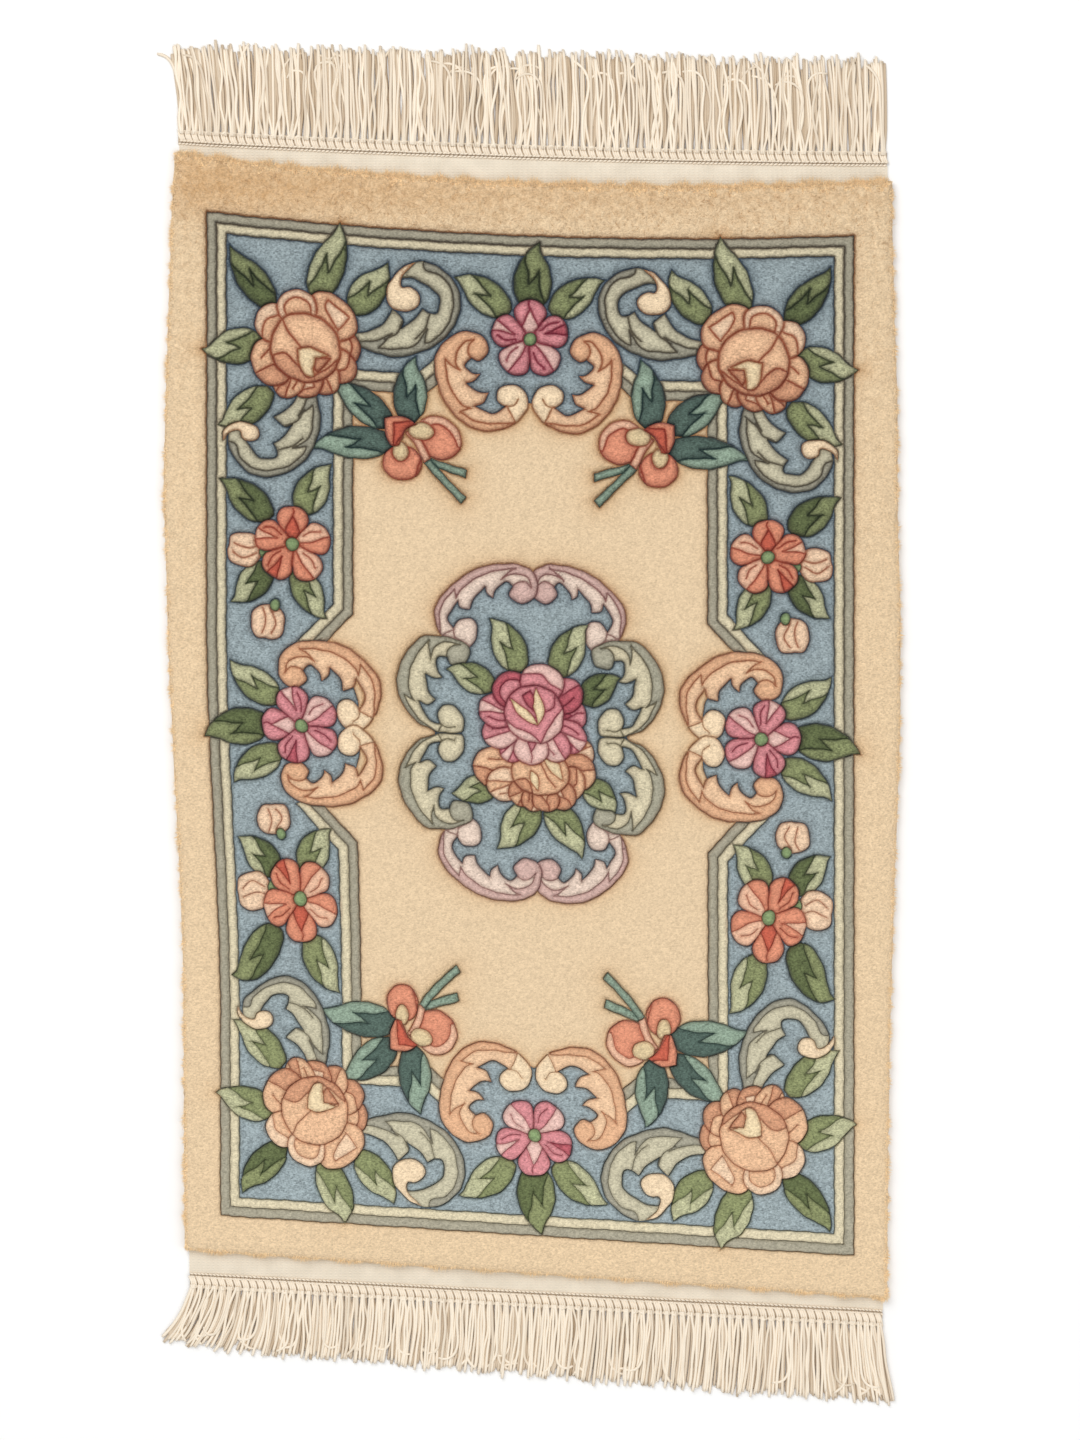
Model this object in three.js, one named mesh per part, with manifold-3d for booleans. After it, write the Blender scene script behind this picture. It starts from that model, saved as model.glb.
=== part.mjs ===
// A small hand-knotted wool rug, carved and flowered in the Chinese manner, lying flat.
// Millimetres, +Z up, the rug's length along Y, its underside on Z = 0.
// The pattern is charted on an even grid, and lay() sets each charted point where the
// real, slightly skewed rug has it.
import * as THREE from 'three';
import Module from 'manifold-3d';

const wasm = await Module();
wasm.setup();

// Driving sizes
const frame = { halfWidth: 276.4, halfLength: 426.7 };  // chart line of the outermost groove
const border = { side: 34, top: 44.4, bottom: 32.4 };   // plain wool outside that groove
const pile = { foot: 3, shoulder: 9, top: 12, roundOver: 4, tuck: 1.5 };
const cloth = { thick: 2.4, seam: 0.3 };                // flat-woven ends, gap to the heading
const groove = { floor: 7.5, halfWidth: 2.2 };
const relief = { leaf: 13.4, scroll: 13.8, flower: 14.4, heart: 15, batter: 1.6, root: 5 };
const bands = { outer: [0, 8.5, 16.8], inner: [0, 8.6, 17] };  // grooves, measured inwards
const strands = { perEnd: 120, width: 2.7, thick: 1.8, root: 4, rootLift: 0.5, rootThick: 1.4, jitter: 0.9 };
const heading = { shoulder: 2.2, top: 3.2, roundOver: 1.2 };

// How the real rug departs from its chart
const skew = { lean: 7.7, topLean: 2.6, bottomLean: 9.4, bow: 5.33, leftLean: 11.9 };
const leftLeanFrom = 85;      // chart height where the left side starts to lean in
const leftLeanTo = -256;      // and where the lean is complete

// Width of the plain border at each side, down the length of the rug
const sideWander = [
  { along: 475, left: 26, right: 32 },
  { along: 427, left: 29, right: 32 },
  { along: 350, left: 31.5, right: 34 },
  { along: 277, left: 34, right: 36.5 },
  { along: 190, left: 36, right: 36.5 },
  { along: 100, left: 33, right: 39 },
  { along: 0, left: 31, right: 38.5 },
  { along: -128, left: 31.5, right: 33.5 },
  { along: -256, left: 32.5, right: 29.5 },
  { along: -427, left: 31.5, right: 27.5 },
  { along: -520, left: 31, right: 28 },
];

// The two ends: each line is at + slope * across + sag * across^2, across running -1 to 1
const topEnd = { chain: { at: 493.5, slope: -9.4, sag: 3.8 }, knots: { at: 503.5, slope: -9.4, sag: 3.8 },
  tips: { at: 586, slope: -7, sag: 0 }, sweepLeft: 7, sweepRight: 0 };
const bottomEnd = { chain: { at: -476, slope: -16, sag: 0 }, knots: { at: -487, slope: -16.6, sag: 0 },
  tips: { at: -549, slope: -24, sag: 0 }, sweepLeft: 25, sweepRight: 12 };

const smoothStep = (from, to, x) => THREE.MathUtils.smoothstep((x - from) / (to - from), 0, 1);

// Border width at one side for a chart height, read between the rows of sideWander
function borderWidth(side, y) {
  const rows = sideWander;
  if (y >= rows[0].along) return rows[0][side];
  for (let i = 1; i < rows.length; i++) {
    if (y >= rows[i].along) {
      const share = (rows[i - 1].along - y) / (rows[i - 1].along - rows[i].along);
      return THREE.MathUtils.lerp(rows[i - 1][side], rows[i][side], share);
    }
  }
  return rows[rows.length - 1][side];
}

// Chart point to real point
function lay([x, y]) {
  const s = x / frame.halfWidth;
  const t = y / frame.halfLength;
  const lean = skew.lean + t * t * (t < 0 ? skew.bottomLean : skew.topLean);
  const inset = skew.leftLean * smoothStep(leftLeanFrom, leftLeanTo, y) * ((1 - s) / 2) ** 2;
  const past = Math.max(0, Math.abs(x) - frame.halfWidth);
  const side = x < 0 ? 'left' : 'right';
  const stretch = Math.sign(x) * past * (borderWidth(side, y) / border.side - 1);
  return [x + inset + stretch, y - lean * s + skew.bow * (1 + t) * s * s];
}

// Polygon helpers: outlines are lists of [x, y], counter-clockwise
const area = (points) => THREE.ShapeUtils.area(points.map(([x, y]) => new THREE.Vector2(x, y)));
const wound = (points) => (area(points) < 0 ? [...points].reverse() : points);

// Moves every side of an outline, or of an open run, to its right by a distance: outwards
// round an outline, inwards when the distance is negative
function grow(points, by, closed = true) {
  const n = points.length;
  const direction = (from, to) => new THREE.Vector2(to[0] - from[0], to[1] - from[1]).normalize();
  return points.map((point, i) => {
    const before = closed || i > 0 ? direction(points[(i + n - 1) % n], point) : direction(point, points[1]);
    const after = closed || i < n - 1 ? direction(point, points[(i + 1) % n]) : before;
    const normal = new THREE.Vector2(before.y + after.y, -before.x - after.x).normalize();
    const reach = by / Math.max(0.55, normal.dot(new THREE.Vector2(before.y, -before.x)));
    return [point[0] + normal.x * reach, point[1] + normal.y * reach];
  });
}

// Closed solid from vertices and triangles
function solid(vertices, triangles) {
  return new wasm.Manifold(new wasm.Mesh({
    numProp: 3,
    vertProperties: new Float32Array(vertices.flat()),
    triVerts: new Uint32Array(triangles.flat()),
  }));
}

// Solid through a stack of like outlines, closed flat at its foot and its top
function loft(rings) {
  const n = rings[0].points.length;
  const vertices = rings.flatMap(({ points, z }) => points.map(([x, y]) => [x, y, z]));
  const triangles = [];
  for (let r = 0; r + 1 < rings.length; r++) {
    for (let i = 0; i < n; i++) {
      const a = r * n + i;
      const b = r * n + (i + 1) % n;
      triangles.push([a, b, b + n], [a, b + n, a + n]);
    }
  }
  const cap = (points) => THREE.ShapeUtils.triangulateShape(points.map(([x, y]) => new THREE.Vector2(x, y)), []);
  const top = (rings.length - 1) * n;
  cap(rings[0].points).forEach(([a, b, c]) => triangles.push([a, c, b]));
  cap(rings.at(-1).points).forEach(([a, b, c]) => triangles.push([top + a, top + b, top + c]));
  return solid(vertices, triangles);
}

// V-shaped channel cutter that follows a closed outline or an open run
function channel(points, closed = true) {
  const n = points.length;
  const above = pile.top + 1;
  const spread = groove.halfWidth * (above - groove.floor) / (pile.top - groove.floor);
  const rings = [
    { points: grow(points, spread, closed), z: above },
    { points: grow(points, -spread, closed), z: above },
    { points, z: groove.floor },
  ];
  const vertices = rings.flatMap(({ points: ring, z }) => ring.map(([x, y]) => [x, y, z]));
  const triangles = closed ? [] : [[0, n, 2 * n], [n - 1, 3 * n - 1, 2 * n - 1]];
  for (let r = 0; r < 3; r++) {
    const next = (r + 1) % 3;
    for (let i = 0; i < (closed ? n : n - 1); i++) {
      const j = (i + 1) % n;
      triangles.push([r * n + i, r * n + j, next * n + j], [r * n + i, next * n + j, next * n + i]);
    }
  }
  return solid(vertices, triangles);
}

// Points along a run of chart corners, the long legs cut into steps so that they can bend
function stepped(corners, step) {
  return corners.flatMap(([x, y], i) => {
    const [nx, ny] = corners[(i + 1) % corners.length];
    const count = Math.max(1, Math.round(Math.hypot(nx - x, ny - y) / step));
    return Array.from({ length: count }, (_, k) => [x + (nx - x) * k / count, y + (ny - y) * k / count]);
  });
}

// Motif outlines on the chart

const oval = ([x, y], rx, ry = rx, count = 7) => Array.from({ length: count }, (_, i) => {
  const angle = 2 * Math.PI * (i + 0.5) / count;
  return [x + rx * Math.cos(angle), y + ry * Math.sin(angle)];
});

// Pointed leaf from its foot to its tip
function leaf([x, y], [tx, ty], width) {
  const [dx, dy] = [tx - x, ty - y];
  const length = Math.hypot(dx, dy);
  const side = (along, out) => [
    x + dx * along - dy / length * out * width / 2,
    y + dy * along + dx / length * out * width / 2];
  return [side(0, -0.35), side(0.45, -1), side(0.78, -0.62), side(1, 0),
    side(0.78, 0.62), side(0.45, 1), side(0, 0.35)];
}

// Round flower outline with one rounded lobe for each petal
function blossom([x, y], radius, petals, turn) {
  const perPetal = [{ share: 0, reach: 0.8 }, { share: 0.3, reach: 1 }, { share: 0.7, reach: 1 }];
  return Array.from({ length: petals * 3 }, (_, i) => {
    const { share, reach } = perPetal[i % 3];
    const angle = turn + 2 * Math.PI * (Math.floor(i / 3) + share - 0.5) / petals;
    return [x + radius * reach * Math.cos(angle), y + radius * reach * Math.sin(angle)];
  });
}

// C-shaped scroll between two curls. Sections are measured along the line between the
// curls and out to the back, in halves of that line and in heights of the back.
const scrollBack = [
  { along: -0.8, out: -0.2 }, { along: -1.6, out: -0.06 }, { along: -1.75, out: 0.42 },
  { along: -1.25, out: 0.86 }, { along: 0, out: 1 }, { along: 1.25, out: 0.86 },
  { along: 1.75, out: 0.42 }, { along: 1.6, out: -0.06 }, { along: 0.8, out: -0.2 },
];
const scrollMouth = [
  { along: 0.72, out: 0.46 }, { along: 0.3, out: 0.14 }, { along: 0.05, out: 0.5 },
  { along: -0.35, out: 0.14 }, { along: -0.75, out: 0.48 },
];
function scroll([ax, ay], [bx, by], back) {
  const half = Math.hypot(bx - ax, by - ay) / 2;
  const along = [(bx - ax) / 2 / half, (by - ay) / 2 / half];
  const out = [along[1] * Math.sign(back), -along[0] * Math.sign(back)];
  const wide = half * 0.55 + 12;
  return [...scrollBack, ...scrollMouth].map((row) => {
    const l = row.along * (Math.abs(row.along) > 1.1 ? wide * 1.05 : half);
    const o = row.out * Math.abs(back);
    return [(ax + bx) / 2 + along[0] * l + out[0] * o, (ay + by) / 2 + along[1] * l + out[1] * o];
  });
}

// Flame-edged scroll that springs from a corner rose, measured from the rose's middle
const cornerScroll = [
  { toCentre: 36, up: 4 }, { toCentre: 46, up: -8 }, { toCentre: 72, up: -13 }, { toCentre: 104, up: -5 },
  { toCentre: 127, up: 18 }, { toCentre: 131, up: 45 }, { toCentre: 117, up: 62 }, { toCentre: 94, up: 69 },
  { toCentre: 72, up: 50 }, { toCentre: 77, up: 30 }, { toCentre: 93, up: 34 }, { toCentre: 96, up: 52 },
  { toCentre: 113, up: 42 }, { toCentre: 99, up: 27 }, { toCentre: 84, up: 10 }, { toCentre: 73, up: 26 },
  { toCentre: 60, up: 9 },
];

// One quarter of the pattern, x across from the middle and y up. Each row is repeated in
// the quarters, at both ends or at both sides.
const rose = { at: [191, 331], radius: 46, bud: 29 };
const quarters = [[1, 1], [-1, 1], [1, -1], [-1, -1]];
const ends = [[1, 1], [1, -1]];
const sides = [[1, 1], [-1, 1]];

const leaves = [
  { foot: [219, 352], tip: [256, 394], width: 25 },
  { foot: [185, 362], tip: [162, 424], width: 27 },
  { foot: [153, 353], tip: [121, 393], width: 27 },
  { foot: [227, 323], tip: [276, 309], width: 27 },
  { foot: [222, 284], tip: [262, 252], width: 25 },
  { foot: [18, 364], tip: [60, 390], width: 27 },
  { foot: [217, 21], tip: [256, 48], width: 25 },
  { foot: [225, 175], tip: [260, 204], width: 27 },
  { foot: [197, 184], tip: [174, 222], width: 26 },
  { foot: [225, 131], tip: [251, 101], width: 25 },
  { foot: [199, 128], tip: [178, 93], width: 24 },
  { foot: [119, 244], tip: [184, 243], width: 26 },
  { foot: [121, 262], tip: [166, 292], width: 26 },
  { foot: [103, 266], tip: [103, 316], width: 28 },
  { foot: [5, 64], tip: [31, 99], width: 27 },
  { foot: [32, 43], tip: [69, 56], width: 24 },
];
const middleLeaves = [
  { foot: [0, 368], tip: [4, 418], width: 32, repeat: ends },
  { foot: [226, 1], tip: [279, -9], width: 30, repeat: sides },
];
const scrolls = [
  { from: [44, 328], to: [19, 293], back: -42 },
  { from: [202, 39], to: [157, 12], back: 46 },
  { from: [56, 87], to: [5, 118], back: 42 },
  { from: [61, 66], to: [67, 14], back: -50 },
];
const buds = [
  { at: [244, 145], radius: 13 },
  { at: [224, 84], radius: 13.5 },
];

// Outlines in the order in which the carver frees them, lowest first
function motifs() {
  const list = [];
  const add = (outline, height, repeat = quarters) => repeat.forEach(([sx, sy]) => {
    list.push({ outline: outline.map(([x, y]) => [x * sx, y * sy]), height });
  });
  leaves.forEach((row) => add(leaf(row.foot, row.tip, row.width), relief.leaf));
  middleLeaves.forEach((row) => add(leaf(row.foot, row.tip, row.width), relief.leaf, row.repeat));

  const [rx, ry] = rose.at;
  add(cornerScroll.map((row) => [rx - row.toCentre, ry + row.up]), relief.scroll);
  add(cornerScroll.map((row) => [rx + row.up * 0.93, ry - row.toCentre * 0.93]), relief.scroll);
  scrolls.forEach((row) => add(scroll(row.from, row.to, row.back), relief.scroll));

  add(blossom(rose.at, rose.radius, 8, 0.3), relief.leaf);
  add(oval(rose.at, rose.bud, rose.bud * 0.9, 9), relief.heart);

  buds.forEach((row) => add(oval(row.at, row.radius), relief.leaf));
  add(blossom([203, 151], 33, 5, 1.57), relief.flower);
  add(blossom([0, 338], 34, 5, 1.57), relief.flower, ends);
  add(blossom([197, 0], 34, 5, 0), relief.flower, sides);

  add([[90, 229], [60, 226], [57, 219], [88, 223]], relief.leaf);
  add([[95, 229], [61, 204], [54, 198], [60, 195], [92, 219]], relief.leaf);
  add(oval([110, 228], 16, 15), relief.scroll);
  add(oval([79, 252], 19, 17, 9), relief.scroll);
  add([[124, 265], [99, 262], [113, 241], [119, 242]], relief.heart);

  add(blossom([3, -30], 50, 8, -0.2), relief.flower, [[1, 1]]);
  add(oval([3, -32], 26, 18, 10), relief.heart, [[1, 1]]);
  add(blossom([0, 17], 45, 8, 0.4), relief.flower, [[1, 1]]);
  add(oval([2, 20], 28, 27, 10), relief.heart, [[1, 1]]);
  return list;
}

// The knotted body: flat-woven cloth under a thick pile, with the carving cut and raised in it
function rugBody() {
  const edge = frame.halfWidth + border.side;
  const pileLoop = stepped([
    [-edge, -frame.halfLength - border.bottom], [edge, -frame.halfLength - border.bottom],
    [edge, frame.halfLength + border.top], [-edge, frame.halfLength + border.top]], 78).map(lay);
  let body = loft([
    { points: grow(pileLoop, -pile.tuck), z: 0 },
    { points: pileLoop, z: pile.foot },
    { points: pileLoop, z: pile.shoulder },
    { points: grow(pileLoop, -pile.roundOver), z: pile.top },
  ]);
  const endLine = ({ chain }, s) => chain.at + chain.slope * s + chain.sag * s * s - Math.sign(chain.at) * cloth.seam;
  const clothLoop = stepped([[-1, -1], [1, -1], [1, 1], [-1, 1]], 0.25).map(([s, t]) => {
    const [x, y] = lay([s * (edge - 3), t * (frame.halfLength + 20)]);
    if (t === 1) return [x, endLine(topEnd, s)];
    if (t === -1) return [x, endLine(bottomEnd, s)];
    return [x, y];
  });
  body = body.add(loft([{ points: clothLoop, z: 0 }, { points: clothLoop, z: cloth.thick }]));

  bands.outer.forEach((inset) => {
    const [w, l] = [frame.halfWidth - inset, frame.halfLength - inset];
    body = body.subtract(channel(stepped([[-w, -l], [w, -l], [w, l], [-w, l]], 95).map(lay)));
  });
  bands.inner.forEach((inset) => {
    const [w, l, slant] = [168.4 - inset, 305 - inset, inset * 0.42];
    const run = [[204 - inset, 66 - slant], [w, 104 - slant], [w, l], [97 - slant, l], [78 - slant, 322 - inset]];
    quarters.forEach(([sx, sy]) => {
      const laid = run.map(([x, y]) => lay([x * sx, y * sy]));
      body = body.subtract(channel(laid, false));
    });
  });

  motifs().forEach(({ outline, height }) => {
    const laid = wound(outline.map(lay));
    const raised = loft([
      { points: grow(laid, relief.batter), z: relief.root },
      { points: grow(laid, -relief.batter), z: height },
    ]);
    body = body.add(raised);
  });
  return body;
}

// Even but unequal numbers from -1 to 1, the same on every run
const uneven = (index, salt) => {
  const wave = Math.sin(index * 12.9898 + salt * 78.233) * 43758.5453;
  return 2 * (wave - Math.floor(wave)) - 1;
};

// Knotted heading strip with its strands lying out from it, towards +Y (way 1) or -Y (way -1)
function fringe(end, way) {
  const line = ({ at, slope, sag }, s) => at + slope * s + sag * s * s;
  const edge = frame.halfWidth + border.side - 3;
  const row = (which) => Array.from({ length: 9 }, (_, i) => {
    const s = -1 + i / 4;
    return [lay([s * edge, way * (frame.halfLength + 20)])[0], line(end[which], s)];
  });
  const loop = wound([...row('chain'), ...row('knots').reverse()]);
  let piece = loft([
    { points: loop, z: 0 },
    { points: loop, z: heading.shoulder },
    { points: grow(loop, -heading.roundOver), z: heading.top },
  ]);

  const half = strands.width / 2;
  for (let i = 0; i < strands.perEnd; i++) {
    const s = -1 + 2 * (i + 0.5) / strands.perEnd;
    const x = lay([s * (edge - 1.5), way * (frame.halfLength + 20)])[0];
    const y = line(end.knots, s);
    const reach = line(end.tips, s) - y + 4 * uneven(i, 2);
    const sweep = -end.sweepLeft * smoothStep(-0.62, -1.02, s) + end.sweepRight * smoothStep(0.62, 1.02, s);
    const ripple = 3 * Math.sin(i * 0.21 + way);
    const path = [
      { at: [x, y - way * strands.root], foot: strands.rootLift, thick: strands.rootThick },
      { at: [x + sweep * 0.22 + ripple * 0.4 + strands.jitter * uneven(i, 5), y + reach * 0.5],
        foot: 0, thick: strands.thick },
      { at: [x + sweep + ripple + strands.jitter * uneven(i, 9), y + reach], foot: 0, thick: strands.thick },
    ];
    const rings = path.map(({ at: [px, py], foot, thick }) => (
      [[px - half, py, foot], [px + half, py, foot], [px, py, foot + thick]]));
    const triangles = [[0, 1, 2], [6, 8, 7]];
    for (let r = 0; r < 2; r++) {
      for (let k = 0; k < 3; k++) {
        const a = r * 3 + k;
        const b = r * 3 + (k + 1) % 3;
        triangles.push([a, b + 3, b], [a, a + 3, b + 3]);
      }
    }
    const facing = way > 0 ? triangles : triangles.map(([a, b, c]) => [a, c, b]);
    piece = piece.add(solid(rings.flat(), facing));
  }
  return piece;
}

// Mesh of a finished solid
function mesh(name, piece, colour) {
  const { vertProperties, triVerts } = piece.getMesh();
  const geometry = new THREE.BufferGeometry();
  geometry.setAttribute('position', new THREE.BufferAttribute(vertProperties, 3));
  geometry.setIndex(new THREE.BufferAttribute(triVerts, 1));
  geometry.computeVertexNormals();
  const result = new THREE.Mesh(geometry, new THREE.MeshStandardMaterial({ color: colour, roughness: 0.95, metalness: 0 }));
  result.name = name;
  return result;
}

const rug = new THREE.Group();
rug.add(
  mesh('rug', rugBody(), 0xd9bb90),
  mesh('fringe_top', fringe(topEnd, 1), 0xe6dac2),
  mesh('fringe_bottom', fringe(bottomEnd, -1), 0xe6dac2),
);

// The origin is under the middle of the whole piece
const middle = new THREE.Box3().setFromObject(rug).getCenter(new THREE.Vector3());
rug.children.forEach((piece) => piece.position.set(-middle.x, -middle.y, 0));

export default rug;
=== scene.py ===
# A small hand-knotted wool rug, carved and flowered in the Chinese manner, lying flat
import math

import bpy
import numpy as np
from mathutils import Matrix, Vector, geometry, kdtree


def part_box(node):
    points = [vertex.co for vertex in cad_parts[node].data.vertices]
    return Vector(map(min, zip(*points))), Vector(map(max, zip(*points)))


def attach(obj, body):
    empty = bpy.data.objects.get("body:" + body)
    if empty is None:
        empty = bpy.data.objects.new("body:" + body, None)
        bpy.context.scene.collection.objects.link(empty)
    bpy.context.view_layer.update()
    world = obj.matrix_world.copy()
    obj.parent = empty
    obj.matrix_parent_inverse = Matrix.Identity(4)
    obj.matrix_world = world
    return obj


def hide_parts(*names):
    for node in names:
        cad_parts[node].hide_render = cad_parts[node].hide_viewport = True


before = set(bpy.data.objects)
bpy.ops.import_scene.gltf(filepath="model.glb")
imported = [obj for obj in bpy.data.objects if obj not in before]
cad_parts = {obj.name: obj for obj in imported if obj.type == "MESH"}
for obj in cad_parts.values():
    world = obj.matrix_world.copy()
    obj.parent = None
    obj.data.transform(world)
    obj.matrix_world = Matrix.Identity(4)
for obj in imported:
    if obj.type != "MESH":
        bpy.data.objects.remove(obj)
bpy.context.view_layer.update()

rng = np.random.default_rng(90)
mm = 0.001


# Camera, straight above as in the photograph
viewFrom = {"mmPerPixel": 0.853, "imageHeight": 1440, "height": 3.0, "sensor": 36.0, "lookX": 8.27,
            "lookY": 13.4}


# The even chart of the pattern and how the real rug departs from it, in millimetres
chart = {"halfWidth": 276.4, "halfLength": 426.7, "side": 34.0, "topBorder": 44.4, "bottomBorder": 32.4}
skew = {"lean": 7.7, "topLean": 2.6, "bottomLean": 9.4, "bow": 5.33,
        "leftLean": 11.9, "leftFrom": 85.0, "leftTo": -256.0}
sideWander = {
    "along": [-520, -427, -256, -128, 0, 100, 190, 277, 350, 427, 475],
    "left": [31, 31.5, 32.5, 31.5, 31, 33, 36, 34, 31.5, 29, 26],
    "right": [28, 27.5, 29.5, 33.5, 38.5, 39, 36.5, 36.5, 34, 32, 32],
}
topEnd = {"way": 1, "chain": (493.5, -9.4, 3.8), "knots": (503.5, -9.4, 3.8), "tips": (586, -7, 0),
          "sweepLeft": 7, "sweepRight": 0, "slant": -2, "wave": .15, "bright": .02}
bottomEnd = {"way": -1, "chain": (-476, -16, 0), "knots": (-487, -16.6, 0), "tips": (-549, -24, 0),
             "sweepLeft": 21, "sweepRight": 15, "slant": -5, "wave": .1, "bright": .1}


def smoothStep(start, stop, x):
    t = np.clip((x - start) / (stop - start), 0, 1)
    return t * t * (3 - 2 * t)


# Where the weaving sits off the even chart: chart x, y, how far round it, and moved by x, y.
# The motifs have slid between the bands besides, most of all towards the bottom corners
drift = [(203, 150, 58, 0, 3.5), (-203, 150, 58, 0, 2.5), (0, 122, 40, 3, 4.5), (0, -118, 60, 4.5, 4.5)]
motifDrift = [
    (170, -325, 150, -1, -14), (66, -222, 45, 8, -1), (222, -122, 48, 1, 6.5), (255, -202, 30, -5, -10),
    (-150, -350, 120, -1, -11), (-66, -222, 45, -12, -1), (-215, -112, 52, 0, 7.5), (-252, -200, 30, 0, -14),
    (-262, -316, 28, -1, -5), (0, -345, 38, 1, 3), (105, 335, 60, -4, 5), (245, 262, 45, 2, -4.5),
    (-245, 270, 45, -2.5, -4.5), (162, -430, 24, 1, 9), (-162, -430, 24, -3, 9), (-170, -62, 34, 0, 4),
    (170, -60, 34, -2, 3),
]


# Chart points to real millimetres, still measured from the middle of the pattern
def lay(points, motif=False):
    points = np.asarray(points, float).reshape(-1, 2)
    x, y = points[:, 0], points[:, 1]
    s, t = x / chart["halfWidth"], y / chart["halfLength"]
    lean = skew["lean"] + t * t * np.where(t < 0, skew["bottomLean"], skew["topLean"])
    inset = skew["leftLean"] * smoothStep(skew["leftFrom"], skew["leftTo"], y) * ((1 - s) / 2) ** 2
    past = np.maximum(0, np.abs(x) - chart["halfWidth"])
    left = np.interp(y, sideWander["along"], sideWander["left"])
    right = np.interp(y, sideWander["along"], sideWander["right"])
    stretch = np.sign(x) * past * (np.where(x < 0, left, right) / chart["side"] - 1)
    laid = np.column_stack([x + inset + stretch, y - lean * s + skew["bow"] * (1 + t) * s * s])
    for atX, atY, reach, moveX, moveY in drift + (motifDrift if motif else []):
        share = np.exp(-((x - atX) ** 2 + (y - atY) ** 2) / reach ** 2)
        laid += share[:, None] * (moveX, moveY)
    return laid


def endLine(line, s):
    at, slope, sag = line
    return at + slope * s + sag * s * s


pileEdge = chart["halfWidth"] + chart["side"]
clothEdge = pileEdge - 3
bottomPile = -chart["halfLength"] - chart["bottomBorder"]
topPile = chart["halfLength"] + chart["topBorder"]
seam = 0.3
acrossEnds = np.linspace(-1, 1, 9)
longSide = np.linspace(-chart["halfLength"] - 32, chart["halfLength"] + 44, 14)
leftMost = lay(np.column_stack([np.full(14, -pileEdge), longSide]))[:, 0].min()
topMost = (endLine(topEnd["chain"], acrossEnds) - seam).max()
rugLow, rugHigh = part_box("rug")
shift = np.array([rugLow.x / mm - leftMost, rugHigh.y / mm - topMost])   # pattern middle to frame origin
print("chart laid, pattern middle at", np.round(shift, 2))


# The dyed yarns: plain colour of the cut pile, and the darker colour down in the carved grooves, partly the
# deeper wool there and partly painted shade
yarns = {
    "borderWool": ((230, 203, 166), (146, 96, 58)),
    # A lighter copy of the border wool for the loose fibres at the rim and top edge, painted light on those
    # fibres
    "borderTipsLit": ((248, 220, 176), (206, 162, 112)),
    "bandGrey": ((173, 167, 147), (66, 58, 50)),
    "bandCream": ((224, 212, 180), (84, 74, 60)),
    "groundBlue": ((157, 170, 173), (46, 60, 76)),
    "fieldCream": ((229, 203, 167), (164, 116, 76)),
    "leafPale": ((190, 190, 152), (60, 64, 44)),
    "leafMid": ((140, 147, 103), (46, 52, 36)),
    "leafDeep": ((102, 112, 74), (34, 42, 28)),
    "tealPale": ((146, 166, 147), (34, 56, 52)),
    "tealDeep": ((86, 105, 96), (22, 40, 42)),
    "peach": ((234, 190, 152), (146, 78, 54)),
    "peachLight": ((240, 208, 176), (154, 90, 64)),
    "peachRust": ((213, 158, 124), (128, 60, 42)),
    "heartCream": ((238, 216, 176), (158, 108, 72)),
    "pink": ((221, 147, 151), (124, 42, 58)),
    "pinkLight": ((235, 197, 186), (138, 66, 74)),
    "pinkDeep": ((192, 100, 109), (104, 28, 46)),
    "salmon": ((225, 150, 120), (144, 58, 44)),
    "salmonLight": ((239, 194, 164), (152, 76, 56)),
    "redDeep": ((206, 104, 82), (112, 36, 30)),
    "discGreen": ((142, 164, 116), (62, 76, 54)),
    "scrollGrey": ((170, 166, 148), (68, 62, 52)),
    "scrollPale": ((203, 196, 169), (80, 72, 58)),
    "scrollPeach": ((228, 180, 142), (144, 82, 54)),
    "scrollPeachPale": ((238, 200, 163), (152, 92, 62)),
    "curlCream": ((242, 217, 182), (146, 98, 64)),
    "mauve": ((214, 180, 170), (122, 78, 76)),
    "mauvePale": ((232, 210, 193), (130, 90, 84)),
    "sage": ((174, 170, 150), (80, 74, 58)),
    "sagePale": ((216, 205, 174), (90, 82, 62)),
    "ovalOlive": ((222, 200, 158), (140, 98, 68)),
}


# Outlines. A third value marks a corner, everything between corners runs smooth
def smoothRun(points, closed=True, step=2.0):
    n = len(points)
    at = [np.array(p[:2], float) for p in points]
    corner = [len(p) > 2 for p in points]
    spans = range(n if closed else n - 1)
    run = []
    for i in spans:
        j = (i + 1) % n
        p1, p2 = at[i], at[j]
        p0 = p1 if corner[i] or (not closed and i == 0) else at[i - 1]
        p3 = p2 if corner[j] or (not closed and j == n - 1) else at[(i + 2) % n]
        count = max(1, round(math.dist(p1, p2) / step))
        for t in np.arange(count) / count:
            run.append(0.5 * (2 * p1 + (p2 - p0) * t + (2 * p0 - 5 * p1 + 4 * p2 - p3) * t * t
                              + (3 * p1 - p0 - 3 * p2 + p3) * t ** 3))
    if not closed:
        run.append(at[-1])
    return np.array(run)


# Hand-cut unevenness of every groove
def waver(points):
    x, y = points[:, 0], points[:, 1]
    dx = 0.22 * np.sin(y / 9.3 + 1.1) + 0.24 * np.sin(y / 2.3 + x / 5)
    dy = 0.22 * np.sin(x / 8.7 + 0.4) + 0.24 * np.sin(x / 2.5 - y / 6)
    return points + np.column_stack([dx, dy])


patches = []
cuts = []
pen = {"mirror": (1, 1), "motif": False}


# One dyed patch of pile. A patch within another shows only where that one would
def paint(points, yarn, level, piece, within=None, wavering=True, step=2.0):
    laid = lay(smoothRun(points, step=step) * pen["mirror"], pen["motif"])
    laid = waver(laid) if wavering else laid
    above = [] if within is None else patches[within]["above"] + [within]
    patches.append({"points": laid, "yarn": yarn, "level": level, "piece": piece, "within": within,
                    "above": above})
    return len(patches) - 1


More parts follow.
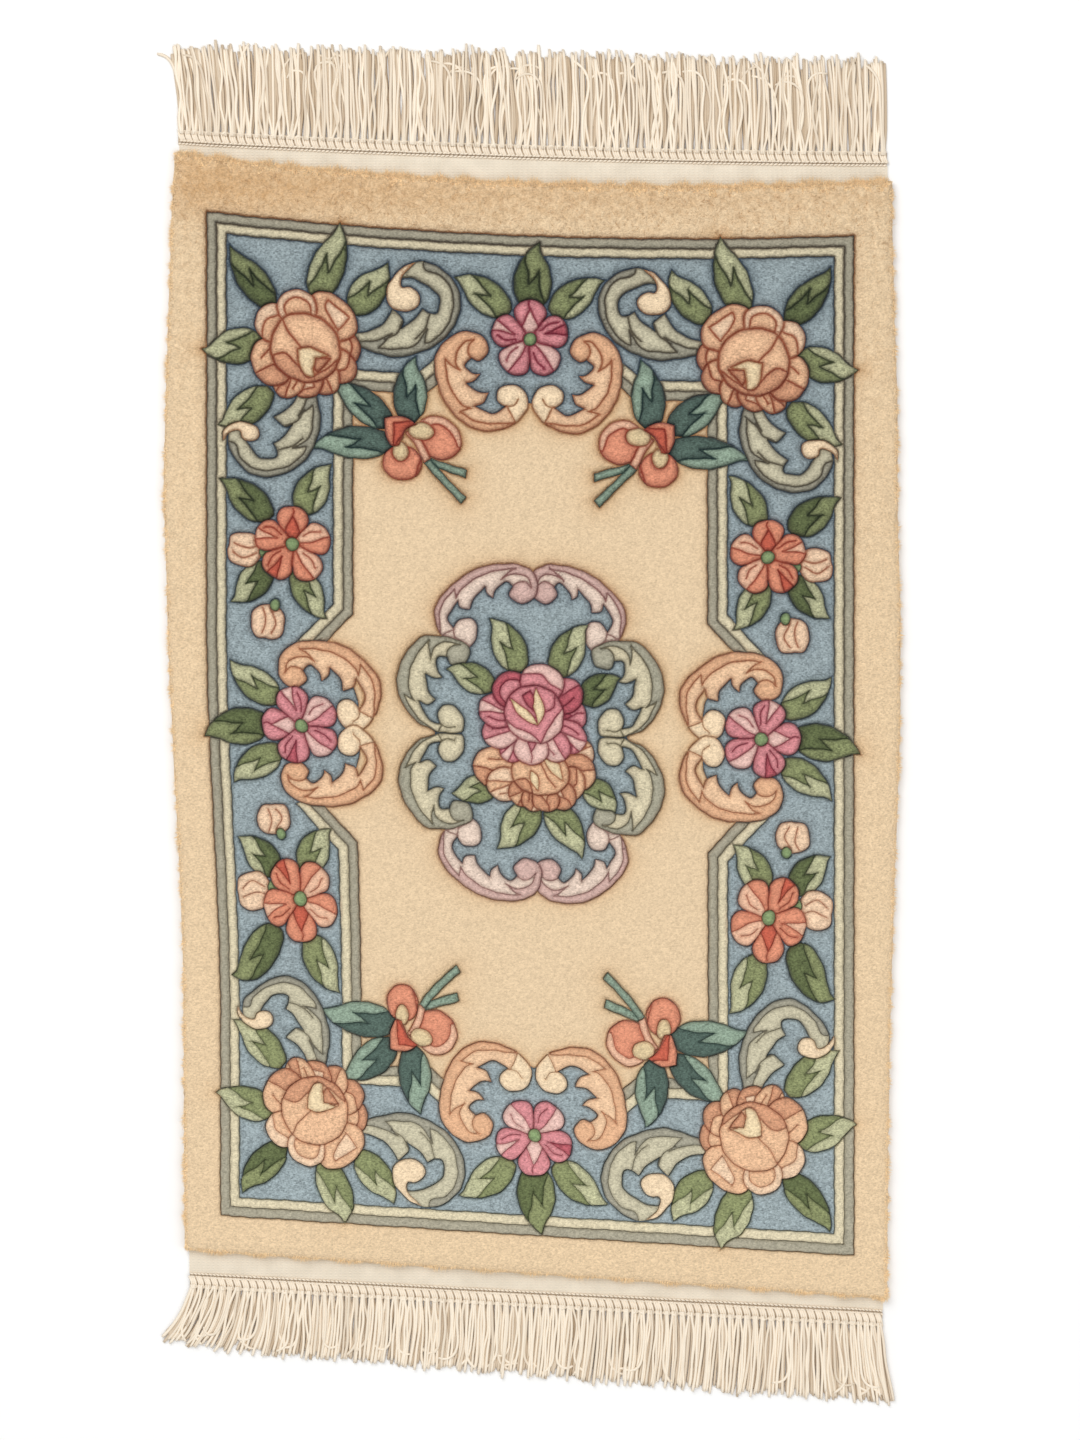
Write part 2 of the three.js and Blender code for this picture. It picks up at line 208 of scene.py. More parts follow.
# A patch of a blossom's middle, which stands highest
def paintHeart(points, yarn, within=None):
    return paint(points, yarn, levels["heart"], "blossoms", within=within)


# A carved line inside one patch, with no change of yarn
def cut(points, within):
    laid = waver(lay(smoothRun(points, closed=False) * pen["mirror"], pen["motif"]))
    cuts.append({"points": laid, "within": within})


# Local places: along from foot to tip and out to its left, in millimetres
def placer(foot, tip, side=1):
    foot = np.array(foot, float)
    run = np.array(tip, float) - foot
    length = math.hypot(*run)
    ahead = run / length
    left = np.array([-ahead[1], ahead[0]]) * side

    def put(rows, alongScale=1.0, outScale=1.0):
        return [(*(foot + ahead * r[0] * alongScale + left * r[1] * outScale), *r[2:]) for r in rows]
    return put, length


def ring(x, y, rx, ry=None, count=10, turn=0.0):
    ry = ry or rx
    angles = turn + np.arange(count) * 2 * math.pi / count
    return [(x + rx * math.cos(a), y + ry * math.sin(a)) for a in angles]


levels = {"plain": 12.0, "leaf": 13.4, "scroll": 13.8, "flower": 14.4, "heart": 15.0}

leafForm = {
    "outline": [(0, -.3, 1), (.1, -.66), (.3, -.96), (.52, -.98), (.74, -.7), (.9, -.3), (1.03, .24, 1),
                (.92, .3), (.8, .52), (.64, .84), (.44, 1.0), (.2, .86), (0, .3, 1)],
    "shade": [(-.12, 1.3, 1), (.06, .84), (.2, .56), (.38, .38), (.6, .3, 1), (.5, .1), (.4, -.18, 1),
              (.56, -.26), (.74, -.46), (.9, -.44, 1), (.8, -1.6, 1), (-.12, -1.6, 1)],
}


# Pointed leaf: pale margin and tip, shaded foot that runs up the other margin
def leaf(foot, tip, width, shadeSide, pale="leafPale", deep="leafMid", level=levels["leaf"]):
    put, length = placer(foot, tip, -shadeSide)
    half = width / 2
    whole = paint(put(leafForm["outline"], length, half), pale, level, "leaves")
    paint(put(leafForm["shade"], length, half), deep, level, "leaves", within=whole)


petalForm = {
    "outline": [(.08, -.2, 1), (.34, -.62), (.6, -.98), (.8, -.93), (.95, -.56), (1.0, 0), (.95, .56),
                (.8, .93), (.6, .98), (.34, .62), (.08, .2, 1)],
    "arrow": [(.02, -.5, 1), (.34, -.46), (.74, 0, 1), (.34, .46), (.02, .5, 1)],
    "half": [(.1, 0, 1), (.5, .14), (1.1, .02, 1), (1.1, 1.4, 1), (.1, 1.4, 1)],
    "fork": [(.4, .04, 1), (.7, -.22), (1.15, -.66, 1), (1.15, .36, 1), (.76, .12)],
    "fold": [(.62, -1.3, 1), (.66, -.5), (.8, .1), (.76, .7), (.66, 1.3, 1), (1.2, 1.3, 1), (1.2, -1.3, 1)],
    "rim": [(.05, -.3, 1), (.4, -.55), (.66, -.66), (.8, -.4), (.84, 0), (.8, .4), (.66, .66), (.4, .55),
            (.05, .3, 1)],
    "window": [(.55, -.5, 1), (.86, -.45, 1), (.8, .5, 1), (.66, .3)],
    "veins": {"half": [(.34, -.3), (.56, -.46), (.78, -.36)], "fork": [(.34, .3), (.58, .52), (.8, .44)],
              "arrow": [(.74, 0), (.84, .12), (.93, .06)]},
}


# One petal from a flower's middle outwards, with a second tone laid in one of the forms above
def petal(at, angle, reach, half, tone, inner, form, side=1):
    level = levels["flower"]
    tip = (at[0] + math.cos(math.radians(angle)), at[1] + math.sin(math.radians(angle)))
    put, _ = placer(at, tip, side)
    whole = paint(put(petalForm["outline"], reach, half), tone, level, "blossoms")
    if form:
        paint(put(petalForm[form], reach, half), inner, level, "blossoms", within=whole)
    if form in petalForm["veins"]:
        cut(put(petalForm["veins"][form], reach, half), whole)
    return whole


# Open flower of five petals round a green disc. rows: tone, inner tone, inner form
def blossom(at, reach, turn, rows, under):
    paint(ring(*at, reach * .38), under, levels["flower"], "blossoms")
    for i, (tone, inner, form) in enumerate(rows):
        petal(at, turn + 360 * i / len(rows), reach, reach * .415, tone, inner, form)
    paintHeart(ring(*at, 5.8), "discGreen")


scrollForm = {
    "halfChord": 22.7, "back": 48.0, "ball": 12.0, "curlReach": 9, "slimFrom": 8, "slimReach": 45,
    "slimWithin": 50,
    "outline": [(-17.4, -6.6), (-24, -10), (-31, -9.3), (-38.5, -4.4), (-44.4, 4.5), (-45.1, 17),
                (-41.2, 28.8), (-33.5, 37.6), (-17, 45.4), (-3, 48.2), (9, 47.8), (21.7, 44.7),
                (33, 38.4), (40.5, 29), (44.6, 17), (45.5, 5), (41, -7.9), (33.5, -13), (25, -13.4),
                (18.4, -9.8), (13.7, -2.3), (14.8, 6), (21.4, 10.2), (29.6, 7.4, 1), (28.4, 20),
                (15.4, 28.6, 1), (16.6, 20.5), (11.6, 13, 1), (6.2, 20.4), (-5.4, 24.6, 1), (-3.4, 17.4),
                (-5.2, 10, 1), (-9.6, 15.2), (-18.6, 17.2), (-20.4, 8.8, 1), (-15, 4)],
    "rimInner": [(44.6, 9, 1), (35, 26), (25.8, 36), (12.6, 42, 1), (15.6, 32.6, 1), (9, 37), (-6, 38.2),
                 (-20, 34.2), (-31.4, 27.6, 1), (-25, 26.6), (-17, 22.4, 1), (-24.4, 22.2), (-31.2, 15.6),
                 (-34.8, 6), (-32, -1.6, 1)],
    "rimOuter": [(-31, 4), (-27.4, 7.8), (-22, 9.2), (-13, 9, 1), (-6, 4, 1), (-12, -30, 1), (-60, -30, 1),
                 (-64, 60, 1), (60, 64, 1), (64, 9, 1)],
    "cream": [(8, -24, 1), (62, -24, 1), (62, 9.4, 1), (30, 5.6, 1), (24, 16, 1), (8, 12, 1)],
    "curlB": [(29.6, 7.4), (32.4, .6), (30, -5.4)],
}


# C-shaped scroll from curl to curl with flame edges inside.
# Ends and slimness bring the two ends of the back nearer to the curls
def scroll(curlA, curlB, back, ends, slimA, slimB, rimTone, paleTone, curlTone):
    put, chord = placer(curlA, curlB, math.copysign(1, back))
    form = scrollForm
    ball, curl, low = form["ball"], form["curlReach"], form["slimFrom"]

    def fit(rows):
        fitted = []
        for u, v, *rest in rows:
            size = abs(u)
            past = size - form["halfChord"]
            if past < 0:
                grown = chord / 2 * size / form["halfChord"]
            else:
                grown = chord / 2 + min(past, curl) + max(0, past - curl) * ends
            slim = slimA if u < 0 else slimB
            rise = v
            if v > ball:
                rise = ball + (v - ball) * (abs(back) - ball) / (form["back"] - ball)
            if rise > low and size < form["slimWithin"]:
                rise = low + (rise - low) * (1 - slim * (size / form["slimReach"]) ** 2)
            fitted.append((math.copysign(grown, u) + chord / 2, rise, *rest))
        return put(fitted)
    level = levels["scroll"]
    whole = paint(fit(form["outline"]), paleTone, level, "scrolls")
    paint(fit(form["rimInner"] + form["rimOuter"]), rimTone, level, "scrolls", within=whole)
    cream = paint(fit(form["cream"]), curlTone, level, "scrolls", within=whole)
    cut(fit(form["curlB"]), cream)


# Larger flame-edged scroll that springs from a corner rose: towards the middle, and up
cornerForm = {
    "swap": (.95, .93),
    "outline": [(36, -2, 1), (46, -7), (73, -13), (88, -11), (104, -4.6), (117, 4.6), (126.5, 18),
                (131.4, 33), (130, 47), (124, 57), (112, 66), (100, 69.4), (90, 68, 1), (80, 60),
                (79, 54, 1), (90, 54.6), (100.3, 50.5), (108, 46), (113.4, 39.9), (111.8, 27), (105, 26),
                (98.7, 29.3, 1), (93, 21), (80.6, 11.6, 1), (82, 19), (73, 28, 1), (66, 16), (54, 8),
                (36, 4, 1)],
    "comma": [(93, 68, 1), (84, 65), (75.6, 56.6), (69.8, 48), (68, 39), (70.6, 31), (77.6, 26.4), (87, 26.6),
              (94.4, 30.6), (97.2, 37.4), (94, 44), (87.6, 47), (82, 46.6), (80.4, 51), (84, 59)],
    "commaSwapped": [(99, 74, 1), (90, 73), (82, 66), (78.6, 57), (79.6, 47), (83.6, 41.4), (90, 40.6),
                     (95.4, 44), (97, 50), (94, 55.6), (88, 57.4), (87.6, 62), (91, 68)],
    "rim": [(100, 80, 1), (101, 63), (115, 58), (124, 46), (125, 32), (119.5, 15), (107, 2), (101, 0, 1),
            (103, 12, 1), (92, -3), (76, -6.4), (62, -6.4, 1), (73, 6, 1), (56, -1), (36, -2, 1),
            (36, -30, 1), (150, -30, 1), (150, 80, 1)],
    "flames": [[(82, 18), (77, 7), (67, 1)], [(105, 25), (101, 12), (93, 3)]],
}


def cornerScroll(rose, swapped):
    def put(rows):
        if swapped:
            wide, high = cornerForm["swap"]
            return [(rose[0] + up * wide, rose[1] - centre * high, *rest) for centre, up, *rest in rows]
        return [(rose[0] - centre, rose[1] + up, *rest) for centre, up, *rest in rows]
    level = levels["scroll"]
    whole = paint(put(cornerForm["outline"]), "scrollPale", level, "scrolls")
    paint(put(cornerForm["rim"]), "scrollGrey", level, "scrolls", within=whole)
    for flame in cornerForm["flames"]:
        cut(put(flame), whole)
    paint(put(cornerForm["commaSwapped" if swapped else "comma"]), "curlCream", level, "scrolls")


# Petals of a corner rose: angle, reach, half width, tone, inner tone, inner form
rosePetals = [
    (185, 46.5, 15, "peachRust", "peach", "rim"),
    (213, 49, 14, "peach", "peachRust", "fold"),
    (242, 47, 13, "peachRust", "peach", "half"),
    (270, 46, 14, "peachRust", "peachLight", "window"),
    (294, 50, 13, "peach", "peachRust", "fork"),
    (-31, 50, 20, "peach", "peachRust", "half"),
    (27, 47.5, 16, "peach", "peachLight", "fold"),
    (133, 49, 24, "peach", "peachLight", "window"),
    (74, 45, 17, "peachLight", "peach", "rim"),
]
roseAt = (191, 325)
scrollsAt = (191, 331)


def cornerRose(at):
    x, y = at

    def put(rows):
        return [(x - row[0], y + row[1], *row[2:]) for row in rows]
    paint(ring(x, y, 33), "peachRust", levels["flower"], "blossoms")
    for angle, reach, half, tone, inner, form in rosePetals:
        petal(at, angle, reach, half, tone, inner, form, side=-1)
    bud = paintHeart(put([(29, -4), (24, 11), (12, 21), (-3, 24), (-18, 20), (-27, 8), (-30, -6),
                          (-25, -20), (-12, -30), (4, -33), (20, -26), (27, -16)]), "peach")
    cut(put([(-20, 17), (-15, 7), (-3, -5)]), bud)
    paintHeart(put([(-31, -14, 1), (-18, -10), (-6, -20, 1), (2, -29), (16, -22, 1), (26, -14, 1),
                    (34, -44, 1), (-20, -44, 1)]), "peachRust", bud)
    paintHeart(put([(-7, -6, 1), (4, -4), (19, -10, 1), (10, -13), (6, -21, 1), (6, -28), (-2, -26),
                    (-6, -16)]), "heartCream")
    paintHeart(put([(8, -12, 1), (21, -12, 1), (10, -25, 1), (7, -20)]), "peachRust")


# Bud on its green calyx, seen from the side
def bud(at, radius, away, calyx):
    put, _ = placer(at, (at[0] + math.cos(math.radians(away)), at[1] + math.sin(math.radians(away))))
    whole = paint(put([(-.8, -.6), (-.4, -1), (.4, -1.02), (.95, -.7), (1.05, -.1), (1.0, .1), (.95, .7),
                       (.4, 1.02), (-.4, 1), (-.8, .6), (-.95, 0)], radius, radius * .94),
                  "peachLight", levels["leaf"], "blossoms")
    cut(put([(-.6, -.15), (.1, -.5), (.7, -.2)], radius, radius), whole)
    cut(put([(-.7, .3), (-.1, .1), (.7, .3)], radius, radius), whole)
    paint(ring(*calyx, 4.4, 5.2, 8), "discGreen", levels["leaf"], "leaves")


# Orchid-like spray inside the field's corner
def spray():
    level = levels["scroll"]
    for tip in ((55, 221.6), (57, 199)):
        put, length = placer((90, 232), tip)
        paint(put([(0, -3.2, 1), (length, -3.6, 1), (length + 1, 3.6, 1), (0, 3.2, 1)]), "tealPale",
              levels["leaf"], "leaves")
    lower = paint(ring(109.5, 228.5, 17, 15, 11), "salmon", level, "blossoms")
    cut([(94, 233), (97, 221), (101, 212)], lower)
    upper = paint([(98, 256), (92, 266), (79, 270), (66, 264), (59, 253), (61, 241), (72, 233), (84, 234),
                   (94, 241)], "salmon", level, "blossoms")
    paint([(100, 262, 1), (90, 259), (80, 263), (68, 257), (62, 244, 1), (48, 246, 1), (60, 280, 1),
           (100, 284, 1)], "salmonLight", level, "blossoms", within=upper)
    paint([(107, 254), (100, 246), (91, 229, 1), (85, 233, 1), (92, 246), (99, 255)], "salmonLight",
          level, "blossoms")
    paint(ring(93, 256, 11, 7.6, 9, .3), "ovalOlive", level, "blossoms")
    paint(ring(111, 238, 7, 8.4, 9), "ovalOlive", level, "blossoms")
    cap = paintHeart([(124, 266, 1), (110, 268), (97, 262, 1), (106, 256), (112, 243, 1), (119, 243),
                      (124, 254)], "salmon")
    paintHeart([(116, 262, 1), (96, 264, 1), (110, 250, 1), (117, 240, 1)], "redDeep", cap)


# Leaves of one quarter: foot, tip, width, shaded side, pale and deep yarn
leafRows = [
    ((219, 352), (258, 398), 26, -1, "leafMid", "leafDeep"),
    ((184, 360), (160, 426), 29, 1, "leafPale", "leafMid"),
    ((153, 353), (120, 395), 28, 1, "leafPale", "leafMid"),
    ((227, 325), (278, 310), 28, -1, "leafPale", "leafMid"),
    ((220, 286), (262, 251), 27, -1, "leafPale", "leafMid"),
    ((18, 360), (62, 391), 29, 1, "leafPale", "leafMid"),
    ((215, 20), (258, 49), 27, -1, "leafPale", "leafMid"),
    ((222, 172), (262, 206), 29, 1, "leafMid", "leafDeep"),
    ((197, 178), (173, 224), 28, -1, "leafPale", "leafMid"),
    ((222, 134), (253, 100), 26, -1, "leafPale", "leafDeep"),
    ((201, 130), (177, 91), 26, 1, "leafPale", "leafMid"),
    ((117, 246), (186, 240), 28, 1, "tealPale", "tealDeep"),
    ((119, 260), (167, 293), 27, 1, "tealPale", "tealDeep"),
    ((104, 262), (101, 318), 29, -1, "tealPale", "tealDeep"),
]

# Leaves round the two roses in the middle, the same way but each where it lies
middleLeaves = [
    ((-8, 54), (-32, 98), 28, -1, "leafPale", "leafMid"),
    ((20, 51), (46, 96), 28, 1, "leafPale", "leafMid"),
    ((-31, 40), (-70, 57), 25, -1, "leafPale", "leafMid"),
    ((43, 30), (75, 53), 26, 1, "leafMid", "leafDeep"),
    ((-30, -43), (-68, -54), 25, 1, "leafPale", "leafMid"),
    ((45, -39), (73, -62), 25, 1, "leafPale", "leafMid"),
    ((2, -58), (-30, -101), 30, 1, "leafPale", "leafMid"),
    ((13, -58), (42, -103), 30, 1, "leafPale", "leafMid"),
]

# Scrolls of one quarter: first curl, last curl, back, ends, slimness at both, yarns of rim, body and curl
scrollRows = [
    ((44, 327), (19, 290), 49, 1.0, 0, 0, "scrollPeach", "scrollPeachPale", "curlCream"),
    ((201, 41), (156, 14), -46, 0.8, 0.42, 0, "scrollPeach", "scrollPeachPale", "curlCream"),
    ((10.6, 118), (56, 87.5), 39, 0.7, 0.55, 0.1, "mauve", "mauvePale", "mauvePale"),
    ((62.5, 66.5), (70, 13.8), 48, 0.39, 0.3, 0.75, "sage", "sagePale", "sagePale"),
]

redRows = [("salmon", "redDeep", "arrow"), ("salmonLight", "salmon", "half"),
           ("salmonLight", "salmon", "half"), ("salmon", "redDeep", "fork"),
           ("salmon", "salmonLight", "fork")]
pinkRows = [("pink", "pinkLight", "arrow"), ("pink", "pinkLight", "fork"), ("pinkLight", "pink", "half"),
            ("pink", "pinkLight", "half"), ("pink", "pinkDeep", "fork")]


# Closed loop through one quarter's points, mirrored to the other three
def fourfold(quarter):
    topRight = quarter
    bottomRight = [(x, -y, *r) for x, y, *r in reversed(quarter)]
    bottomLeft = [(-x, -y, *r) for x, y, *r in quarter]
    topLeft = [(-x, y, *r) for x, y, *r in reversed(quarter)]
    return topRight + bottomRight + bottomLeft + topLeft


def box(halfWidth, halfLength):
    return fourfold([(halfWidth, halfLength, 1)])


frameRun = {"bands": (0, 8.5, 16.8), "side": 168.4, "end": 305.0, "slant": .42, "innerBands": (0, 8.6, 17.0)}


def innerFrame(inset):
    w, l, slant = frameRun["side"] - inset, frameRun["end"] - inset, inset * frameRun["slant"]
    return fourfold([(0, 284, 1), (10, 280), (28, 272), (52, 274), (67, 297, 1), (77 - slant, 322 - inset, 1),
                     (97 - slant, l, 1), (w, l, 1), (w, 104 - slant, 1), (204 - inset, 66 - slant, 1),
                     (186, 60), (166, 54), (150, 32), (147, 12), (147, 0, 1)])


def paintGrounds():
    whole = [(pileEdge, topPile, 1), (-pileEdge, topPile, 1), (-pileEdge, bottomPile, 1),
             (pileEdge, bottomPile, 1)]
    paint(whole, "borderWool", levels["plain"], "border", wavering=False, step=2.6)
    for inset, yarn, piece in zip(frameRun["bands"], ("bandGrey", "bandCream", "groundBlue"),
                                  ("bands", "bands", "ground")):
        paint(box(chart["halfWidth"] - inset, chart["halfLength"] - inset), yarn, levels["plain"], piece,
              step=2.4)
    for inset, yarn, piece in zip(frameRun["innerBands"], ("bandCream", "bandGrey", "fieldCream"),
                                  ("bands", "bands", "field")):
        paint(innerFrame(inset), yarn, levels["plain"], piece, step=2.4)
    paint(fourfold([(0, 124, 1), (16, 134), (44, 128), (68, 108), (74, 84, 1), (94, 66), (100, 44), (94, 22),
                    (82, 0, 1)]), "groundBlue", levels["plain"], "ground")


def paintQuarter():
    for row in leafRows:
        leaf(*row)
    for swapped in (False, True):
        cornerScroll(scrollsAt, swapped)
    for row in scrollRows:
        scroll(*row)
    bud((243, 145), 14.5, 4, (227, 143))
    bud((224, 87), 14.5, 270, (218, 100))
    blossom((203, 151), 33, 90, redRows, "redDeep")
    spray()
    cornerRose(roseAt)


# The two roses in the middle. Petals: angle, reach, half width, tone, inner tone, inner form
pinkRose = {
    "at": (3, 15.5),
    "petals": [
        (5, 45, 14, "pink", "pinkDeep", "arrow"), (-28, 49, 14, "pink", "pinkLight", "fork"),
        (-54, 44, 13, "pinkLight", "pink", "half"), (235, 45, 12, "pink", "pinkLight", "fork"),
        (204, 48, 14, "pink", "pinkLight", "half"), (171, 48, 15, "pink", "pinkLight", "fork"),
        (264, 41, 15, "pinkLight", "pink", "arrow"), (130, 46, 16, "pinkDeep", "pink", "rim"),
        (36, 49, 15, "pinkDeep", "pink", "half"), (77, 46, 19, "pink", "pinkLight", "fold"),
    ],
}
orangeRose = {
    "at": (7.5, -34),
    "petals": [
        (30, 52, 14, "peachLight", "peach", "half"), (6, 48, 16, "peach", "peachRust", "half"),
        (172, 58, 18, "peach", "peachRust", "half"), (196, 48, 15, "peachLight", "peach", "fork"),
        (-14, 39, 15, "peachRust", "peach", "fold"), (226, 35, 13, "peachRust", "peach", "fork"),
        (-46, 37, 13, "peachRust", "peachLight", "arrow"), (252, 34, 11, "peachRust", "peachLight", "half"),
        (278, 33, 12, "peachRust", "peach", "arrow"),
    ],
}


def paintMiddle():
    for row in middleLeaves:
        leaf(*row)
    x, y = orangeRose["at"]
    paint(ring(x, y, 22), "peachRust", levels["flower"], "blossoms")
    for angle, reach, half, tone, inner, form in orangeRose["petals"]:
        petal((x, y), angle, reach, half, tone, inner, form)
    ball = paintHeart(ring(x, y + 2, 25, 20, 11), "peach")
    paintHeart([(x - 24, y - 6, 1), (x - 12, y - 4), (x - 6, y - 22, 1), (x - 30, y - 30, 1)],
               "peachRust", ball)
    paintHeart([(x - 8, y + 4, 1), (x - 2, y - 2), (x - 3, y - 14, 1), (x - 9, y - 6)], "heartCream", ball)
    paintHeart([(x + 3, y + 14, 1), (x + 16, y + 10), (x + 19, y - 4, 1), (x + 10, y + 2)],
               "heartCream", ball)
    cut([(x + 1, y + 9), (x + 6, y - 2), (x + 12, y - 10)], ball)
    x, y = pinkRose["at"]
    paint(ring(x, y, 27), "pinkDeep", levels["flower"], "blossoms")
    for angle, reach, half, tone, inner, form in pinkRose["petals"]:
        petal((x, y), angle, reach, half, tone, inner, form)

    def put(rows):
        return [(x + row[0], y + row[1], *row[2:]) for row in rows]
    heart = paintHeart(put([(25, 2), (22, -11), (12, -20), (5, -22, 1), (-8, -20), (-20, -12), (-25.5, 2),
                            (-22, 16), (-12, 25), (2, 27), (16, 22), (23, 13)]), "pink")
    paintHeart(put([(-27, 0, 1), (-16, -9), (-5, -13), (5, -21.5, 1), (-4, -40, 1), (-34, -26, 1)]),
               "pinkLight", heart)
    paintHeart(put([(24, 8, 1), (15, -4), (9, -14), (5.4, -21.5, 1), (16, -36, 1), (40, -8, 1)]),
               "pinkLight", heart)
    paintHeart(put([(-20, 16, 1), (-11, 10), (-2, 2), (3, -7, 1), (-8, -2), (-16, 6)]), "heartCream", heart)
    paintHeart(put([(2, 25, 1), (7, 14), (9, 4), (3, -7, 1), (1, 4), (-1, 13)]), "heartCream", heart)
    paintHeart(put([(-10, 19, 1), (-6, 11), (-1, 6, 1), (0, 16), (-3, 23, 1)]), "pinkDeep", heart)
    cut(put([(18, 20), (17, 10), (9, 4)]), heart)


# Paint once for each mirror
def mirrored(mirrors, paintOne, *values):
    for mirror in mirrors:
        pen["mirror"] = mirror
        paintOne(*values)


def paintPattern():
    bothEnds, bothSides, corners = ((1, 1), (1, -1)), ((1, 1), (-1, 1)), ((1, 1), (-1, 1), (1, -1), (-1, -1))
    paintGrounds()
    pen["motif"] = True
    mirrored(bothEnds, leaf, (1, 362), (4, 420), 33, 1, "leafMid", "leafDeep")
    mirrored(bothSides, leaf, (224, 2), (281, -10), 31, 1, "leafMid", "leafDeep")
    mirrored(corners, paintQuarter)
    mirrored(bothEnds, blossom, (0, 338), 34, 90, pinkRows, "pinkDeep")
    mirrored(bothSides, blossom, (197, 0), 34, 0, pinkRows, "pinkDeep")
    mirrored([(1, 1)], paintMiddle)


paintPattern()
print("pattern charted:", len(patches), "patches,", len(cuts), "cuts")


# Which patch shows at each point, the last painted one that covers it
def shownAt(points):
    order = np.argsort(points[:, 1], kind="stable")
    xs, ys = points[order, 0], points[order, 1]
    own = np.full(len(points), -1)
    for index, patch in enumerate(patches):
        loop = patch["points"]
        x0, y0 = loop[:, 0], loop[:, 1]
        x1, y1 = np.roll(x0, -1), np.roll(y0, -1)
        first = np.searchsorted(ys, np.minimum(y0, y1))
        last = np.searchsorted(ys, np.maximum(y0, y1))
        a, b = first.min(), last.max()
        if b <= a:
            continue
        covered = np.zeros(b - a, bool)
        for k in np.nonzero(last > first)[0]:
            lo, hi = first[k], last[k]
            crossing = x0[k] + (ys[lo:hi] - y0[k]) * (x1[k] - x0[k]) / (y1[k] - y0[k])
            covered[lo - a:hi - a] ^= xs[lo:hi] < crossing
        if patch["within"] is not None:
            parent = patch["within"]
            allowed = np.array([parent == o or parent in patches[o]["above"] for o in range(index)] + [False])
            covered &= allowed[own[a:b]]
        own[a:b][covered] = index
    result = np.empty(len(points), int)
    result[order] = own
    return result


# Carving. Widths and depths in millimetres, wider and deeper where the nap stands away, at the top
carving = {"between": 4.4, "inside": 2.8, "width": 3.0, "insideWidth": 2.3, "crown": 0.7, "crownReach": 9.0,
           "topGain": 0.6, "uneven": 0.22, "edgeDrop": 3.4, "edgeWidth": 6.0, "shadeReach": 2.4, "reach": 470,
           "groove": 1.8, "sink": 1.3, "sinkReach": 8, "shag": .45, "haloReach": 9.0, "shadeInside": .75,
           "shadeBetween": 1.1, "shadeTop": .3, "haloAlong": .55, "haloAside": .45}
spacing = {"offsets": (1.1, 2.6), "cell": 1.5, "grid": 3.3, "clear": 0.85, "offLine": 2, "apart": .62,
           "probeAt": (0.06, 0.5, 0.94), "probe": 0.25}


def segmentsOf(loop, closed):
    start = loop if closed else loop[:-1]
    stop = np.roll(loop, -1, axis=0) if closed else loop[1:]
    return start, stop


# The stretches of every outline and cut that show
def shownSegments():
    rows = [(*segmentsOf(p["points"], True), np.full(len(p["points"]), -1)) for p in patches]
    rows += [(*segmentsOf(c["points"], False), np.full(len(c["points"]) - 1, c["within"])) for c in cuts]
    start, stop = np.vstack([r[0] for r in rows]), np.vstack([r[1] for r in rows])
    inner = np.concatenate([r[2] for r in rows])
    run = stop - start
    length = np.hypot(run[:, 0], run[:, 1])
    normal = np.column_stack([-run[:, 1], run[:, 0]]) / np.maximum(length, 1e-9)[:, None]
    aside = spacing["probe"]
    probes = [start + run * t + normal * side for t in spacing["probeAt"] for side in (-aside, aside)]
    own = shownAt(np.vstack(probes)).reshape(6, -1)
    differs = (own[0] != own[1]) | (own[2] != own[3]) | (own[4] != own[5])
    ofCut = np.array([i >= 0 for i in inner])
    lookup = [set([p["within"]] if p["within"] is not None else []) | set(p["above"]) for p in patches]
    inCut = np.array([w >= 0 and (own[2, i] == w or w in lookup[own[2, i]]) for i, w in enumerate(inner)])
    keep = np.where(ofCut, inCut, differs) & (length > 1e-6)
    return start[keep], stop[keep], normal[keep], ofCut[keep]


def treeOf(points):
    tree = kdtree.KDTree(len(points))
    for i, (x, y) in enumerate(points):
        tree.insert((x, y, 0), i)
    tree.balance()
    return tree


def nearest(tree, points):
    found = [tree.find((x, y, 0))[1:] for x, y in points]
    return np.array([f[1] for f in found]), np.array([f[0] for f in found])


# One point per cell, the first listed wins
def thinned(points, cell):
    _, first = np.unique(np.floor(points / cell).astype(int), axis=0, return_index=True)
    return points[np.sort(first)]


def planePoints(start, stop, normal):
    middle = (start + stop) / 2
    first, _ = spacing["offsets"]
    rows = [start + normal * side * offset for offset in spacing["offsets"] for side in (-1, 1)]
    rows[2:2] = [middle + normal * first, middle - normal * first]
    near = thinned(np.vstack(rows), spacing["cell"])
    low, high, cell = start.min(0), start.max(0), spacing["grid"]
    gx, gy = np.meshgrid(np.arange(low[0], high[0], cell), np.arange(low[1], high[1], cell))
    grid = np.column_stack([gx.ravel() + (np.indices(gx.shape)[0].ravel() % 2) * cell / 2, gy.ravel()])
    grid += rng.uniform(-0.5, 0.5, grid.shape)
    lines = treeOf(np.vstack([start, middle]))
    distance, _ = nearest(lines, near)
    near = near[distance > spacing["clear"]]
    beside = treeOf(near)
    distance, _ = nearest(beside, grid)
    lineDistance, _ = nearest(lines, grid)
    grid = grid[(distance > cell * spacing["apart"]) & (lineDistance > spacing["offLine"])]
    free = np.vstack([near, grid])
    return free[shownAt(free) >= 0]


def arrange():
    start, stop, normal, ofCut = shownSegments()
    free = planePoints(start, stop, normal)
    print("plane points:", len(start), "on lines,", len(free), "between")
    n = len(start)
    points = [Vector(p) for p in np.vstack([start, stop, free])]
    edges = [(i, i + n) for i in range(n)]
    verts, links, faces, _, linkFrom, _ = geometry.delaunay_2d_cdt(points, edges, [], 0, 0.02)
    at = np.array([v[:] for v in verts])
    triangles = np.array(faces)
    own = shownAt(at[triangles].mean(1))
    showing = own >= 0
    cutLinks = [tuple(sorted(links[i])) for i, source in enumerate(linkFrom)
                if any(ofCut[s] for s in source if s < n)]
    return at, triangles[showing], own[showing], cutLinks


